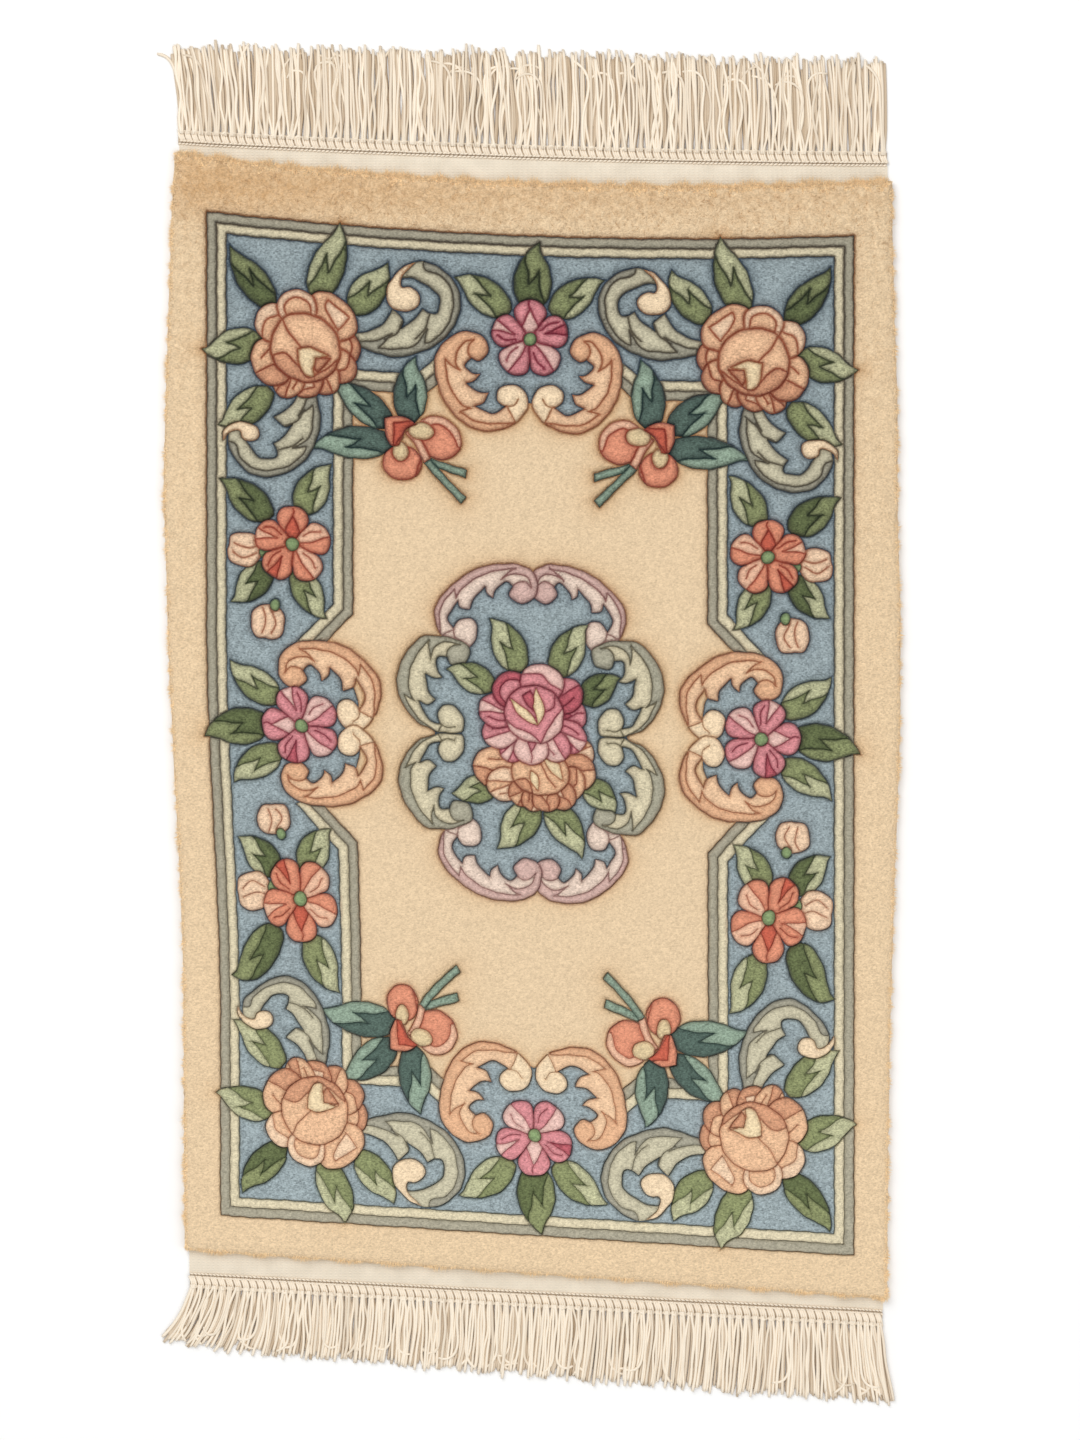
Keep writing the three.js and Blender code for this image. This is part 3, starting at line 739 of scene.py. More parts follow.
plane, planeTriangles, planeOwner, cutEdges = arrange()
print("pile arranged:", len(plane), "points,", len(planeTriangles), "triangles")


# Heights of the carved pile, from the distance to the nearest groove
def carve():
    level = np.array([p["level"] for p in patches])
    motif = np.array([p["piece"] in ("leaves", "scrolls", "blossoms") for p in patches])
    root = np.array([p["above"][0] if p["above"] else i for i, p in enumerate(patches)])
    plain = np.array([p["piece"] in ("field", "border", "ground") for p in patches])
    sides = np.vstack([planeTriangles[:, [0, 1]], planeTriangles[:, [1, 2]], planeTriangles[:, [2, 0]]])
    sides = np.sort(sides, axis=1)
    of = np.tile(planeOwner, 3)
    order = np.lexsort((sides[:, 1], sides[:, 0]))
    sides, of = sides[order], of[order]
    same = np.all(sides[:-1] == sides[1:], axis=1)
    paired = np.nonzero(same)[0]
    a, b = of[paired], of[paired + 1]
    cutSet = set(cutEdges)
    isCut = np.array([tuple(e) in cutSet for e in sides[paired]])
    grooved = (a != b) | isCut
    edge, a, b = sides[paired][grooved], a[grooved], b[grooved]
    inside = root[a] == root[b]
    alone = np.ones(len(sides), bool)
    alone[paired] = False
    alone[paired + 1] = False
    rim = sides[alone]
    middles = plane[edge].mean(1)
    topness = np.clip(middles[:, 1] / carving["reach"], -1, 1)
    gain = 1 + carving["topGain"] * topness
    depth = np.where(inside, carving["inside"], carving["between"])
    floor = np.minimum(level[a], level[b]) - depth
    width = np.where(inside, carving["insideWidth"], carving["width"]) * gain
    toPlain = (plain[a] & motif[b]) | (plain[b] & motif[a])
    at = np.vstack([plane[edge[:, 0]], plane[edge[:, 1]], middles])
    floors, widths, soft = np.tile(floor, 3), np.tile(width, 3), np.tile(toPlain, 3)
    grooveTree = treeOf(at)
    distance, index = nearest(grooveTree, plane)
    rimDistance, _ = nearest(treeOf(np.vstack([plane[rim[:, 0]], plane[rim].mean(1)])), plane)
    haloDistance, beside = nearest(treeOf(at[soft]), plane)
    aside = np.abs(plane[:, 0] - at[soft][beside, 0]) / np.maximum(haloDistance, 1)
    top = np.full(len(plane), 0.0)
    np.maximum.at(top, planeTriangles.ravel(), np.repeat(level[planeOwner], 3))
    high = np.zeros(len(plane))
    np.maximum.at(high, planeTriangles.ravel(), np.repeat(motif[planeOwner].astype(float), 3))
    on = np.zeros(len(plane), bool)
    on[edge.ravel()] = True
    share = np.clip(distance / widths[index], 0, 1)
    share[on] = 0
    height = top - (top - floors[index]) * (1 - share) ** carving["groove"]
    height[on] = floors[index][on]
    height += high * carving["crown"] * (1 - np.exp(-distance / carving["crownReach"])) * ~on
    edgeShare = np.clip(rimDistance / carving["edgeWidth"], 0, 1)
    height -= carving["edgeDrop"] * (1 - edgeShare) ** 2
    height += rng.normal(0, carving["uneven"], len(plane)) * ~on
    plainBorder = np.zeros(len(plane))
    np.maximum.at(plainBorder, planeTriangles.ravel(), np.repeat((root[planeOwner] == 0).astype(float), 3))
    upper = smoothStep(-carving["reach"], carving["reach"], plane[:, 1])
    height += rng.normal(0, carving["shag"], len(plane)) * plainBorder * upper * ~on
    height -= carving["sink"] * np.exp(-haloDistance / carving["sinkReach"]) * (1 - high) * ~on
    # Painted shade of the grooves: how far it reaches, less inside a motif and more towards the top
    reach = carving["shadeReach"] * np.where(np.tile(inside, 3)[index], carving["shadeInside"],
                                             carving["shadeBetween"])
    reach *= 1 + carving["shadeTop"] * np.clip(plane[:, 1] / carving["reach"], -1, 1)
    # Halo beside the motifs, partly darker wool where the pile dips and partly painted shade, more of it to
    # the sides of a motif
    halo = np.exp(-haloDistance / carving["haloReach"])
    halo *= carving["haloAlong"] + carving["haloAside"] * np.clip(aside, 0, 1)
    return height, share, np.exp(-distance / reach), halo, rimDistance


pileHeight, pileShare, pileGrooveShade, pileHaloShade, rimDistance = carve()
print("pile carved")


def newObject(name, vertices, faces, materials, slots=None, smooth=True, attributes=None):
    mesh = bpy.data.meshes.new(name)
    faces = faces.tolist() if isinstance(faces, np.ndarray) else faces
    mesh.from_pydata(np.asarray(vertices).tolist(), [], faces)
    for material in materials:
        mesh.materials.append(material)
    if slots is not None:
        mesh.polygons.foreach_set("material_index", np.asarray(slots, np.int32))
    for key, values in (attributes or {}).items():
        layer = mesh.attributes.new(key, "FLOAT", "POINT")
        layer.data.foreach_set("value", np.asarray(values, np.float32))
    if smooth:
        mesh.polygons.foreach_set("use_smooth", np.ones(len(mesh.polygons), bool))
    addUvs(mesh)
    mesh.update()
    made = bpy.data.objects.new(name, mesh)
    bpy.context.scene.collection.objects.link(made)
    return made


# Four-cornered faces over rows and columns of points
def gridFaces(rows, columns, first=0):
    index = np.arange(rows * columns).reshape(rows, columns) + first
    return np.column_stack([index[:-1, :-1].ravel(), index[:-1, 1:].ravel(), index[1:, 1:].ravel(),
                            index[1:, :-1].ravel()])


# Plan-view coordinates, filling the square
def addUvs(mesh):
    count = len(mesh.vertices)
    at = np.zeros(count * 3, np.float32)
    mesh.vertices.foreach_get("co", at)
    at = at.reshape(-1, 3)[:, :2]
    at = (at - at.min(0)) / np.maximum(np.ptp(at, axis=0), 1e-6)
    corners = np.zeros(len(mesh.loops), np.int32)
    mesh.loops.foreach_get("vertex_index", corners)
    layer = mesh.uv_layers.new(name="OFBake")
    layer.data.foreach_set("uv", at[corners].astype(np.float32).ravel())


# Shader helpers
def linear(colour):
    share = np.array(colour, float) / 255
    low = share / 12.92
    high = ((share + 0.055) / 1.055) ** 2.4
    return (*np.where(share <= 0.04045, low, high), 1.0)


def node(tree, kind, **values):
    made = tree.nodes.new(kind)
    for key, value in values.items():
        if hasattr(made, key):
            setattr(made, key, value)
        else:
            made.inputs[key].default_value = value
    return made


# Each value is a number or another node's output
def fill(tree, socket, value):
    if isinstance(value, (int, float, tuple)):
        socket.default_value = value
    else:
        tree.links.new(value, socket)


def mathNode(tree, operation, *values, clamp=False):
    made = node(tree, "ShaderNodeMath", operation=operation, use_clamp=clamp)
    for socket, value in zip(made.inputs, values):
        fill(tree, socket, value)
    return made.outputs[0]


def mixNode(tree, factor, first, second, blend="MIX"):
    made = node(tree, "ShaderNodeMix", data_type="RGBA", blend_type=blend)
    for name, value, kind in (("Factor", factor, "VALUE"), ("A", first, "RGBA"), ("B", second, "RGBA")):
        fill(tree, next(s for s in made.inputs if s.name == name and s.type == kind), value)
    return next(s for s in made.outputs if s.type == "RGBA")


def newGroup(name, inputs, outputs):
    tree = bpy.data.node_groups.new(name, "ShaderNodeTree")
    for label, kind, value in inputs:
        socket = tree.interface.new_socket(label, in_out="INPUT", socket_type="NodeSocket" + kind)
        socket.default_value = value
    for label, kind in outputs:
        tree.interface.new_socket(label, in_out="OUTPUT", socket_type="NodeSocket" + kind)
    return tree, tree.nodes.new("NodeGroupInput"), tree.nodes.new("NodeGroupOutput")


# Cut wool pile: tufts and fleck, painted shade towards the grooves and on the nap at the top, a halo beside
# the motifs partly painted shade
def makeCarvedWool():
    tree, given, out = newGroup(
        "carvedWool",
        [("Yarn", "Color", (.8, .7, .5, 1)), ("Groove", "Color", (.3, .2, .1, 1)),
         ("Halo", "Color", (.6, .4, .2, 1)), ("Halo Strength", "Float", 0.0), ("Shade", "Float", 0.5),
         ("Fleck", "Float", 1.0), ("Patches", "Float", 0.1), ("Tuft Size", "Float", 420.0),
         ("Nap Shade", "Float", 0.17), ("Clumps", "Float", 0.0)],
        [("Color", "Color"), ("Height", "Float")])
    value = given.outputs
    link = tree.links.new

    def times(first, second, clamp=False):
        return mathNode(tree, "MULTIPLY", first, second, clamp=clamp)

    def plus(first, second):
        return mathNode(tree, "ADD", first, second)

    def minus(first, second, clamp=False):
        return mathNode(tree, "SUBTRACT", first, second, clamp=clamp)

    def stored(name):
        return node(tree, "ShaderNodeAttribute", attribute_name=name).outputs["Fac"]

    place = node(tree, "ShaderNodeTexCoord").outputs["Object"]
    rows = node(tree, "ShaderNodeVectorMath", operation="MULTIPLY")
    rows.inputs[1].default_value = (.5, 1, 1)
    tufts = node(tree, "ShaderNodeTexVoronoi", feature="F1")
    fine = node(tree, "ShaderNodeTexNoise", Scale=950.0, Detail=2.0, Roughness=0.7)
    clumpy = node(tree, "ShaderNodeTexNoise", Scale=150.0, Detail=3.0, Roughness=0.6, Distortion=0.8)
    mottle = node(tree, "ShaderNodeTexNoise", Scale=30.0, Detail=3.0, Roughness=0.6)
    split = node(tree, "ShaderNodeSeparateXYZ")
    for socket in (rows.inputs[0], tufts.inputs["Vector"], clumpy.inputs["Vector"], mottle.inputs["Vector"],
                   split.inputs[0]):
        link(place, socket)
    link(value["Tuft Size"], tufts.inputs["Scale"])
    link(rows.outputs[0], fine.inputs["Vector"])
    tuftTone = node(tree, "ShaderNodeSeparateColor")
    link(tufts.outputs["Color"], tuftTone.inputs[0])
    grain = minus(fine.outputs["Fac"], 0.5)

    # The nap stands away at the top of the rug, so the wool is painted darker there as painted shade and
    # every painted shade is stronger
    napUp = mathNode(tree, "MULTIPLY_ADD", split.outputs["Y"], 1.05, 0.5, clamp=True)
    standing = mathNode(tree, "MULTIPLY_ADD", napUp, 0.75, 0.3)
    clumps = times(minus(clumpy.outputs["Fac"], 0.5), times(value["Clumps"], times(napUp, napUp)))
    fleck = plus(times(minus(tuftTone.outputs[0], 0.5), 0.26), times(grain, 1.1))
    patchy = times(minus(mottle.outputs["Fac"], 0.5), value["Patches"])
    tone = plus(times(fleck, value["Fleck"]), plus(patchy, times(clumps, 0.3)))
    gain = times(plus(tone, 1.0), minus(1.02, times(napUp, value["Nap Shade"])))

    # Halo beside the motifs and along the border's top: partly darker wool where the pile dips, partly
    # painted shade
    haloShadeShare = times(minus(times(stored("halo"), standing), clumps), value["Halo Strength"], True)
    yarnWithHaloShade = mixNode(tree, haloShadeShare, value["Yarn"], value["Halo"])
    # Painted shade: the yarn darkened towards its groove colour near every groove, stronger at the top
    shadeShare = times(times(minus(stored("near"), times(grain, 0.35)), standing), value["Shade"], True)
    shaded = mixNode(tree, shadeShare, yarnWithHaloShade, value["Groove"])
    combine = node(tree, "ShaderNodeCombineColor")
    for socket in combine.inputs:
        link(gain, socket)
    lit = mixNode(tree, 1.0, shaded, combine.outputs[0], "MULTIPLY")

    # Painted shade down in the grooves: the groove colour where the pile closes in, more of it at the top
    openness = node(tree, "ShaderNodeMapRange", clamp=True, interpolation_type="SMOOTHSTEP")
    rough = mathNode(tree, "MULTIPLY_ADD", grain, 0.5, stored("carve"))
    for name, feed in (("Value", rough), ("From Min", 0.0), ("From Max", 0.5),
                       ("To Min", minus(0.5, times(napUp, 0.5), True)), ("To Max", 1.0)):
        fill(tree, openness.inputs[name], feed)
    link(mixNode(tree, openness.outputs[0], value["Groove"], lit), out.inputs["Color"])
    height = minus(times(fine.outputs["Fac"], 0.8), tufts.outputs["Distance"])
    link(plus(height, times(clumps, 3.0)), out.inputs["Height"])
    return tree


carvedWool = makeCarvedWool()


def newMaterial(name):
    made = bpy.data.materials.new(name)
    made.use_nodes = True
    return made, made.node_tree, made.node_tree.nodes["Principled BSDF"]


# Colour and bump on a matt surface
def surface(tree, shader, colour, height, bump, roughness, sheen=0.0):
    strength, distance = bump
    bumped = node(tree, "ShaderNodeBump", Strength=strength, Distance=distance)
    tree.links.new(height, bumped.inputs["Height"])
    tree.links.new(colour, shader.inputs["Base Color"])
    tree.links.new(bumped.outputs["Normal"], shader.inputs["Normal"])
    shader.inputs["Roughness"].default_value = roughness
    shader.inputs["Sheen Weight"].default_value = sheen


def makeWool(name, halo=None, haloStrength=0.0, shade=0.45, fleck=1.0, patches=0.05, tuftSize=520.0, napShade=0.11,
             bump=0.6, clumps=0.12):
    colour, groove = yarns[name]
    made, tree, shader = newMaterial(name)
    wool = node(tree, "ShaderNodeGroup", node_tree=carvedWool, **{
        "Yarn": linear(colour), "Groove": linear(groove), "Halo": linear(halo or colour),
        "Halo Strength": haloStrength, "Shade": shade, "Fleck": fleck, "Patches": patches,
        "Tuft Size": tuftSize, "Nap Shade": napShade, "Clumps": clumps})
    surface(tree, shader, wool.outputs["Color"], wool.outputs["Height"], (bump, 0.0011), 0.92, 0.12)
    shader.inputs["Sheen Roughness"].default_value = 0.5
    shader.inputs["Specular IOR Level"].default_value = 0.12
    return made


# Per yarn: the halo colour and strength, partly darker wool and partly painted shade beside the motifs and
# along the border's top; shade, how strongly the grooves' painted shade shows; the nap value, how much darker
# the yarn is painted towards the top, as painted shade
woolSettings = {
    "borderWool": {"halo": (206, 162, 112), "haloStrength": 0.8, "shade": 0.25, "patches": 0.02,
                   "tuftSize": 620.0, "fleck": 0.75, "napShade": 0.07, "bump": 0.6, "clumps": 1.3},
    "fieldCream": {"halo": (202, 160, 112), "haloStrength": 0.75, "shade": 0.3, "fleck": 0.6, "patches": 0.02,
                   "napShade": 0.07, "clumps": 0.1},
    "borderTipsLit": {"halo": (206, 162, 112), "haloStrength": 0.8, "napShade": 0.04, "patches": 0.0, "bump": 0.3},
    "groundBlue": {"halo": (84, 104, 118), "haloStrength": 0.4, "shade": 0.3, "fleck": 1.6, "patches": 0.08,
                   "napShade": 0.18},
    "bandGrey": {"shade": 0.35}, "bandCream": {"shade": 0.35},
    "scrollGrey": {"shade": 0.7}, "scrollPale": {"shade": 0.7}, "curlCream": {"shade": 0.2},
    "scrollPeach": {"shade": 0.6}, "scrollPeachPale": {"shade": 0.6},
    "sage": {"shade": 0.6}, "sagePale": {"shade": 0.6}, "mauve": {"shade": 0.6}, "mauvePale": {"shade": 0.6},
    "leafPale": {"shade": 0.55, "napShade": 0.16, "fleck": 1.5},
    "leafMid": {"shade": 0.8, "napShade": 0.2, "fleck": 1.6},
    "leafDeep": {"shade": 0.8, "napShade": 0.2, "fleck": 1.6}, "tealPale": {"shade": 0.55, "fleck": 1.5},
    "tealDeep": {"shade": 0.8, "fleck": 1.6}, "peachRust": {"shade": 0.75, "fleck": 1.2},
    "peach": {"shade": 0.8, "fleck": 1.2}, "peachLight": {"shade": 0.65, "fleck": 1.2},
    "pink": {"shade": 0.8, "fleck": 1.2}, "pinkDeep": {"shade": 0.75, "fleck": 1.3},
    "pinkLight": {"shade": 0.65},
    "salmon": {"shade": 0.75}, "salmonLight": {"shade": 0.6}, "redDeep": {"shade": 0.7},
}
woolOf = {name: makeWool(name, **woolSettings.get(name, {})) for name in yarns}
print("yarns dyed:", len(woolOf))


# The carved pile, one object for each kind of ground or motif. The border is painted darker towards its top
# edge, as painted shade, less of it right at the rim
pile = {"pieces": ("border", "bands", "ground", "field", "leaves", "scrolls", "blossoms"), "shadeFrom": 6,
        "shade": .62, "shadeLean": .3, "rimLight": .6, "rimReach": 6}


def makePile():
    made = []
    topShade = smoothStep(chart["halfLength"] - pile["shadeFrom"], topPile, plane[:, 1])
    rimLight = 1 - pile["rimLight"] * np.exp(-rimDistance / pile["rimReach"])
    topShade *= (pile["shade"] - pile["shadeLean"] * plane[:, 0] / pileEdge) * rimLight
    carveShare = np.clip(pileShare, 0, 1)
    for piece in pile["pieces"]:
        chosen = np.array([p["piece"] == piece for p in patches])[planeOwner]
        triangles = planeTriangles[chosen]
        used, inverse = np.unique(triangles, return_inverse=True)
        faces = inverse.reshape(-1, 3)
        vertices = np.column_stack([(plane[used] + shift) * mm, pileHeight[used] * mm])
        names = sorted({p["yarn"] for p in patches if p["piece"] == piece})
        slotOf = np.array([names.index(p["yarn"]) if p["yarn"] in names else 0 for p in patches])
        a, b, c = (vertices[faces[:, i], :2] for i in range(3))
        turned = np.cross(b - a, c - a) < 0
        faces[turned] = faces[turned][:, ::-1]
        halo = np.maximum(pileHaloShade, topShade)[used] if piece == "border" else pileHaloShade[used]
        stored = {"carve": carveShare[used], "near": pileGrooveShade[used], "halo": halo}
        made.append(newObject("pile_" + piece, vertices, faces, [woolOf[n] for n in names],
                              slotOf[planeOwner[chosen]], attributes=stored))
        print("  pile", piece, len(faces), "triangles")
    return made


pilePieces = makePile()


# Cotton of the foundation, the heading and the fringe
def makeCottonWeave():
    tree, given, out = newGroup(
        "cottonWeave",
        [("Thread", "Color", (.8, .75, .65, 1)), ("Shadow", "Color", (.5, .45, .4, 1)),
         ("Depth", "Float", 0.35)],
        [("Color", "Color"), ("Height", "Float")])
    link = tree.links.new
    place = node(tree, "ShaderNodeTexCoord").outputs["Object"]
    warp = node(tree, "ShaderNodeTexWave", bands_direction="X", Scale=75.0, Distortion=0.6)
    weft = node(tree, "ShaderNodeTexWave", bands_direction="Y", Scale=130.0, Distortion=0.6)
    cloudy = node(tree, "ShaderNodeTexNoise", Scale=60.0, Detail=4.0)
    for texture in (warp, weft, cloudy):
        link(place, texture.inputs["Vector"])
    weave = mathNode(tree, "MULTIPLY", warp.outputs["Fac"], weft.outputs["Fac"])
    cloud = mathNode(tree, "SUBTRACT", cloudy.outputs["Fac"], 0.3)
    dirt = mathNode(tree, "MULTIPLY", cloud, 0.8, clamp=True)
    # Painted shade between the threads of the weave, and clouds of real dirt, both mixed towards the darker
    # cotton colour
    shade = mathNode(tree, "MULTIPLY", mathNode(tree, "SUBTRACT", 1.0, weave), given.outputs["Depth"])
    share = mathNode(tree, "ADD", shade, dirt, clamp=True)
    link(mixNode(tree, share, given.outputs["Thread"], given.outputs["Shadow"]), out.inputs["Color"])
    link(weave, out.inputs["Height"])
    return tree


cottonWeave = makeCottonWeave()


def makeClothMaterial():
    made, tree, shader = newMaterial("foundationCotton")
    weave = node(tree, "ShaderNodeGroup", node_tree=cottonWeave, Thread=linear((243, 231, 211)),
                 Shadow=linear((206, 194, 174)), Depth=0.28)
    surface(tree, shader, weave.outputs["Color"], weave.outputs["Height"], (0.7, 0.0006), 0.9)
    return made


def makeStrandMaterial():
    made, tree, shader = newMaterial("fringeCotton")
    fibres = node(tree, "ShaderNodeTexNoise", Scale=700.0, Detail=2.0)
    tree.links.new(node(tree, "ShaderNodeTexCoord").outputs["Object"], fibres.inputs["Vector"])
    tone = node(tree, "ShaderNodeAttribute", attribute_name="tone").outputs["Fac"]
    # From a dark colour to the cotton's own colour: partly random tone of the strands, partly painted shade
    # on their undersides and in the layer beneath
    colour = mixNode(tree, tone, linear((170, 142, 106)), linear((252, 239, 219)))
    surface(tree, shader, colour, fibres.outputs["Fac"], (0.4, 0.0004), 0.85, 0.1)
    return made


foundationCotton = makeClothMaterial()
strandCotton = makeStrandMaterial()


# Foundation cloth, under the pile and out to the heading at both ends
foundation = {"thick": 2.2, "columns": 120, "endRows": 22, "midRows": 40, "wave": .15, "waveX": 9.0,
              "waveY": 5.0}


def makeFoundation():
    across = np.linspace(-1, 1, foundation["columns"])
    rows = []
    low = lay(np.column_stack([across * clothEdge, np.full(len(across), bottomPile)]))
    high = lay(np.column_stack([across * clothEdge, np.full(len(across), topPile)]))
    lowEnd = np.column_stack([low[:, 0], endLine(bottomEnd["chain"], across) + seam])
    highEnd = np.column_stack([high[:, 0], endLine(topEnd["chain"], across) - seam])
    for t in np.linspace(0, 1, foundation["endRows"]):
        rows.append(lowEnd + (low - lowEnd) * t)
    for y in np.linspace(bottomPile, topPile, foundation["midRows"])[1:-1]:
        rows.append(lay(np.column_stack([across * clothEdge, np.full(len(across), y)])))
    for t in np.linspace(0, 1, foundation["endRows"]):
        rows.append(high + (highEnd - high) * t)
    grid = np.array(rows)
    nr, nc = grid.shape[:2]
    flat = (grid.reshape(-1, 2) + shift) * mm
    wave = foundation["wave"] * np.sin(flat[:, 0] / mm / foundation["waveX"])
    wave *= np.sin(flat[:, 1] / mm / foundation["waveY"])
    top = np.column_stack([flat, (foundation["thick"] + wave) * mm])
    under = np.column_stack([flat, np.zeros(len(flat))])
    n = nr * nc
    faces = np.vstack([gridFaces(nr, nc), gridFaces(nr, nc, n)[:, ::-1]]).tolist()
    index = np.arange(n).reshape(nr, nc)
    loop = np.concatenate([index[0, :], index[1:, -1], index[-1, -2::-1], index[-2:0:-1, 0]])
    after = np.roll(loop, -1)
    faces += np.column_stack([loop, loop + n, after + n, after]).tolist()
    obj = newObject("foundation", np.vstack([top, under]), faces, [foundationCotton], smooth=False)
    return obj, np.ptp(flat, axis=0).tolist()


foundationCloth, clothSize = makeFoundation()


# Wall of the pile round the rug: rings that belly out and tuck in under
wall = {"out": (0, .9, 1.1, .2, -1.6), "height": (8.6, 6.6, 4.4, 2.2, .4), "uneven": .25, "carve": .9,
        "halo": .35}


def makeWall():
    loop = patches[0]["points"]
    run = np.roll(loop, -1, axis=0) - np.roll(loop, 1, axis=0)
    normal = np.column_stack([run[:, 1], -run[:, 0]]) / np.hypot(run[:, 0], run[:, 1])[:, None]
    count = len(loop)
    rings = []
    for out, height in zip(wall["out"], wall["height"]):
        bumpy = rng.normal(0, wall["uneven"], count) if out else np.zeros(count)
        rings.append(np.column_stack([(loop + normal * (out + bumpy)[:, None] + shift) * mm,
                                      np.full(count, height * mm)]))
    index = np.arange(count)
    after = np.roll(index, -1)
    faces = []
    for r in range(len(rings) - 1):
        faces += np.column_stack([index + r * count, after + r * count, after + (r + 1) * count,
                                  index + (r + 1) * count])[:, ::-1].tolist()
    total = count * len(rings)
    stored = {"carve": np.full(total, wall["carve"]), "near": np.zeros(total),
              "halo": np.full(total, wall["halo"])}
    obj = newObject("pile_wall", np.vstack(rings), faces, [woolOf["borderWool"]], attributes=stored)
    return obj, loop, normal


pileWall, rimLoop, rimNormal = makeWall()
print("foundation and wall made")


# Round strands along given paths, all in one mesh, with painted shade darkening their undersides
tube = {"sides": 6, "tip": .8, "dark": .72, "light": .28}


def tubes(paths, radii, tones):
    vertices, faces, tone, base = [], [], [], 0
    sides = tube["sides"]
    turn = np.arange(sides) * 2 * math.pi / sides
    cosine, sine = np.cos(turn)[None, :, None], np.sin(turn)[None, :, None]
    k = np.arange(sides)
    k1 = (k + 1) % sides
    for path, radius, shade in zip(paths, radii, tones):
        n = len(path)
        run = np.gradient(path, axis=0)
        run /= np.linalg.norm(run, axis=1)[:, None]
        side = np.cross(run, (0, 0, 1.0))
        side /= np.linalg.norm(side, axis=1)[:, None]
        up = np.cross(side, run)
        taper = np.ones(n) * radius
        taper[-1] *= tube["tip"]
        around = (side[:, None, :] * cosine + up[:, None, :] * sine) * taper[:, None, None]
        vertices.append((path[:, None, :] + around).reshape(-1, 3))
        # Painted shade: each strand darker on its lower side
        tone.append(np.tile(shade * (tube["dark"] + tube["light"] * np.sin(turn)), n))
        for r in range(n - 1):
            faces += np.column_stack([base + r * sides + k, base + r * sides + k1,
                                      base + (r + 1) * sides + k1, base + (r + 1) * sides + k]).tolist()
        faces.append((base + k[::-1]).tolist())
        faces.append((base + (n - 1) * sides + k).tolist())
        base += n * sides
    return np.vstack(vertices), faces, np.concatenate(tone)


# Both fringes: angles in radians, lengths in millimetres, the rest as shares
fringe = {"knots": 88, "upper": 264, "under": 300, "radius": 1.3, "thin": .86, "thick": 1.08, "steps": 19,
          "sways": 70, "sway": .035, "swayTurn": 2.6, "bend": .018, "wave": .85, "still": .35,
          "sweepFrom": .62, "sweepTo": 1.02, "sweepStart": .35, "sweepGrow": 1.3, "ripples": (5, 12),
          "curling": .13, "curl": (.5, 2.6), "curlFrom": .55, "curlPower": 1.4, "inset": .5, "past": 20,
          "uneven": .02, "ragged": 1.6, "shorter": 6, "spreadBy": .3, "tuckIn": 1.5, "lift": 1.02,
          "pileUp": 1.3, "slope": .5, "arch": .6, "rootLift": .8, "rootReach": .05, "lean": 4.0,
          # The under layer's darker tone is painted shade between the upper strands
          "underTone": (.4, .1), "upperTone": (.86, .12)}


# A place on one end, across it, from the chain stitch (0) to the knots (1), and height
def endPoint(end, s, share, z):
    beyond = end["way"] * (chart["halfLength"] + fringe["past"])
    x = lay([(s * (clothEdge - fringe["inset"]), beyond)])[0, 0]
    y = endLine(end["chain"], s) * (1 - share) + endLine(end["knots"], s) * share
    return np.array([x + shift[0], y + shift[1], z])


# Headings along a strand, in steps from its root: swept at the corners, swaying with its neighbours, some
# of the upper ones curled at the tip
def strandAngles(end, s, length, t, sway, upper):
    reach, past, turns = fringe["sweepFrom"], fringe["sweepTo"], fringe["swayTurn"]
    sweep = end["sweepRight"] * smoothStep(reach, past, s) - end["sweepLeft"] * smoothStep(-reach, -past, s)
    shared = np.interp((s + 1) * (len(sway) - 1) / 2, np.arange(len(sway)), sway)
    angle = (sweep + end["slant"]) / length * (fringe["sweepStart"] + fringe["sweepGrow"] * t)
    angle = angle + fringe["sway"] * shared * np.sin(t * turns + shared)
    wave = end["wave"] * rng.normal() * np.sin(t * rng.uniform(*fringe["ripples"]) + rng.uniform(0, 6))
    loose = 1 if upper else fringe["still"]
    angle = angle + loose * (fringe["bend"] * rng.normal() + fringe["wave"] * wave)
    if upper and rng.random() < fringe["curling"]:
        curl = rng.choice((-1, 1)) * rng.uniform(*fringe["curl"])
        angle = angle + curl * smoothStep(fringe["curlFrom"], 1.0, t) ** fringe["curlPower"]
    return angle


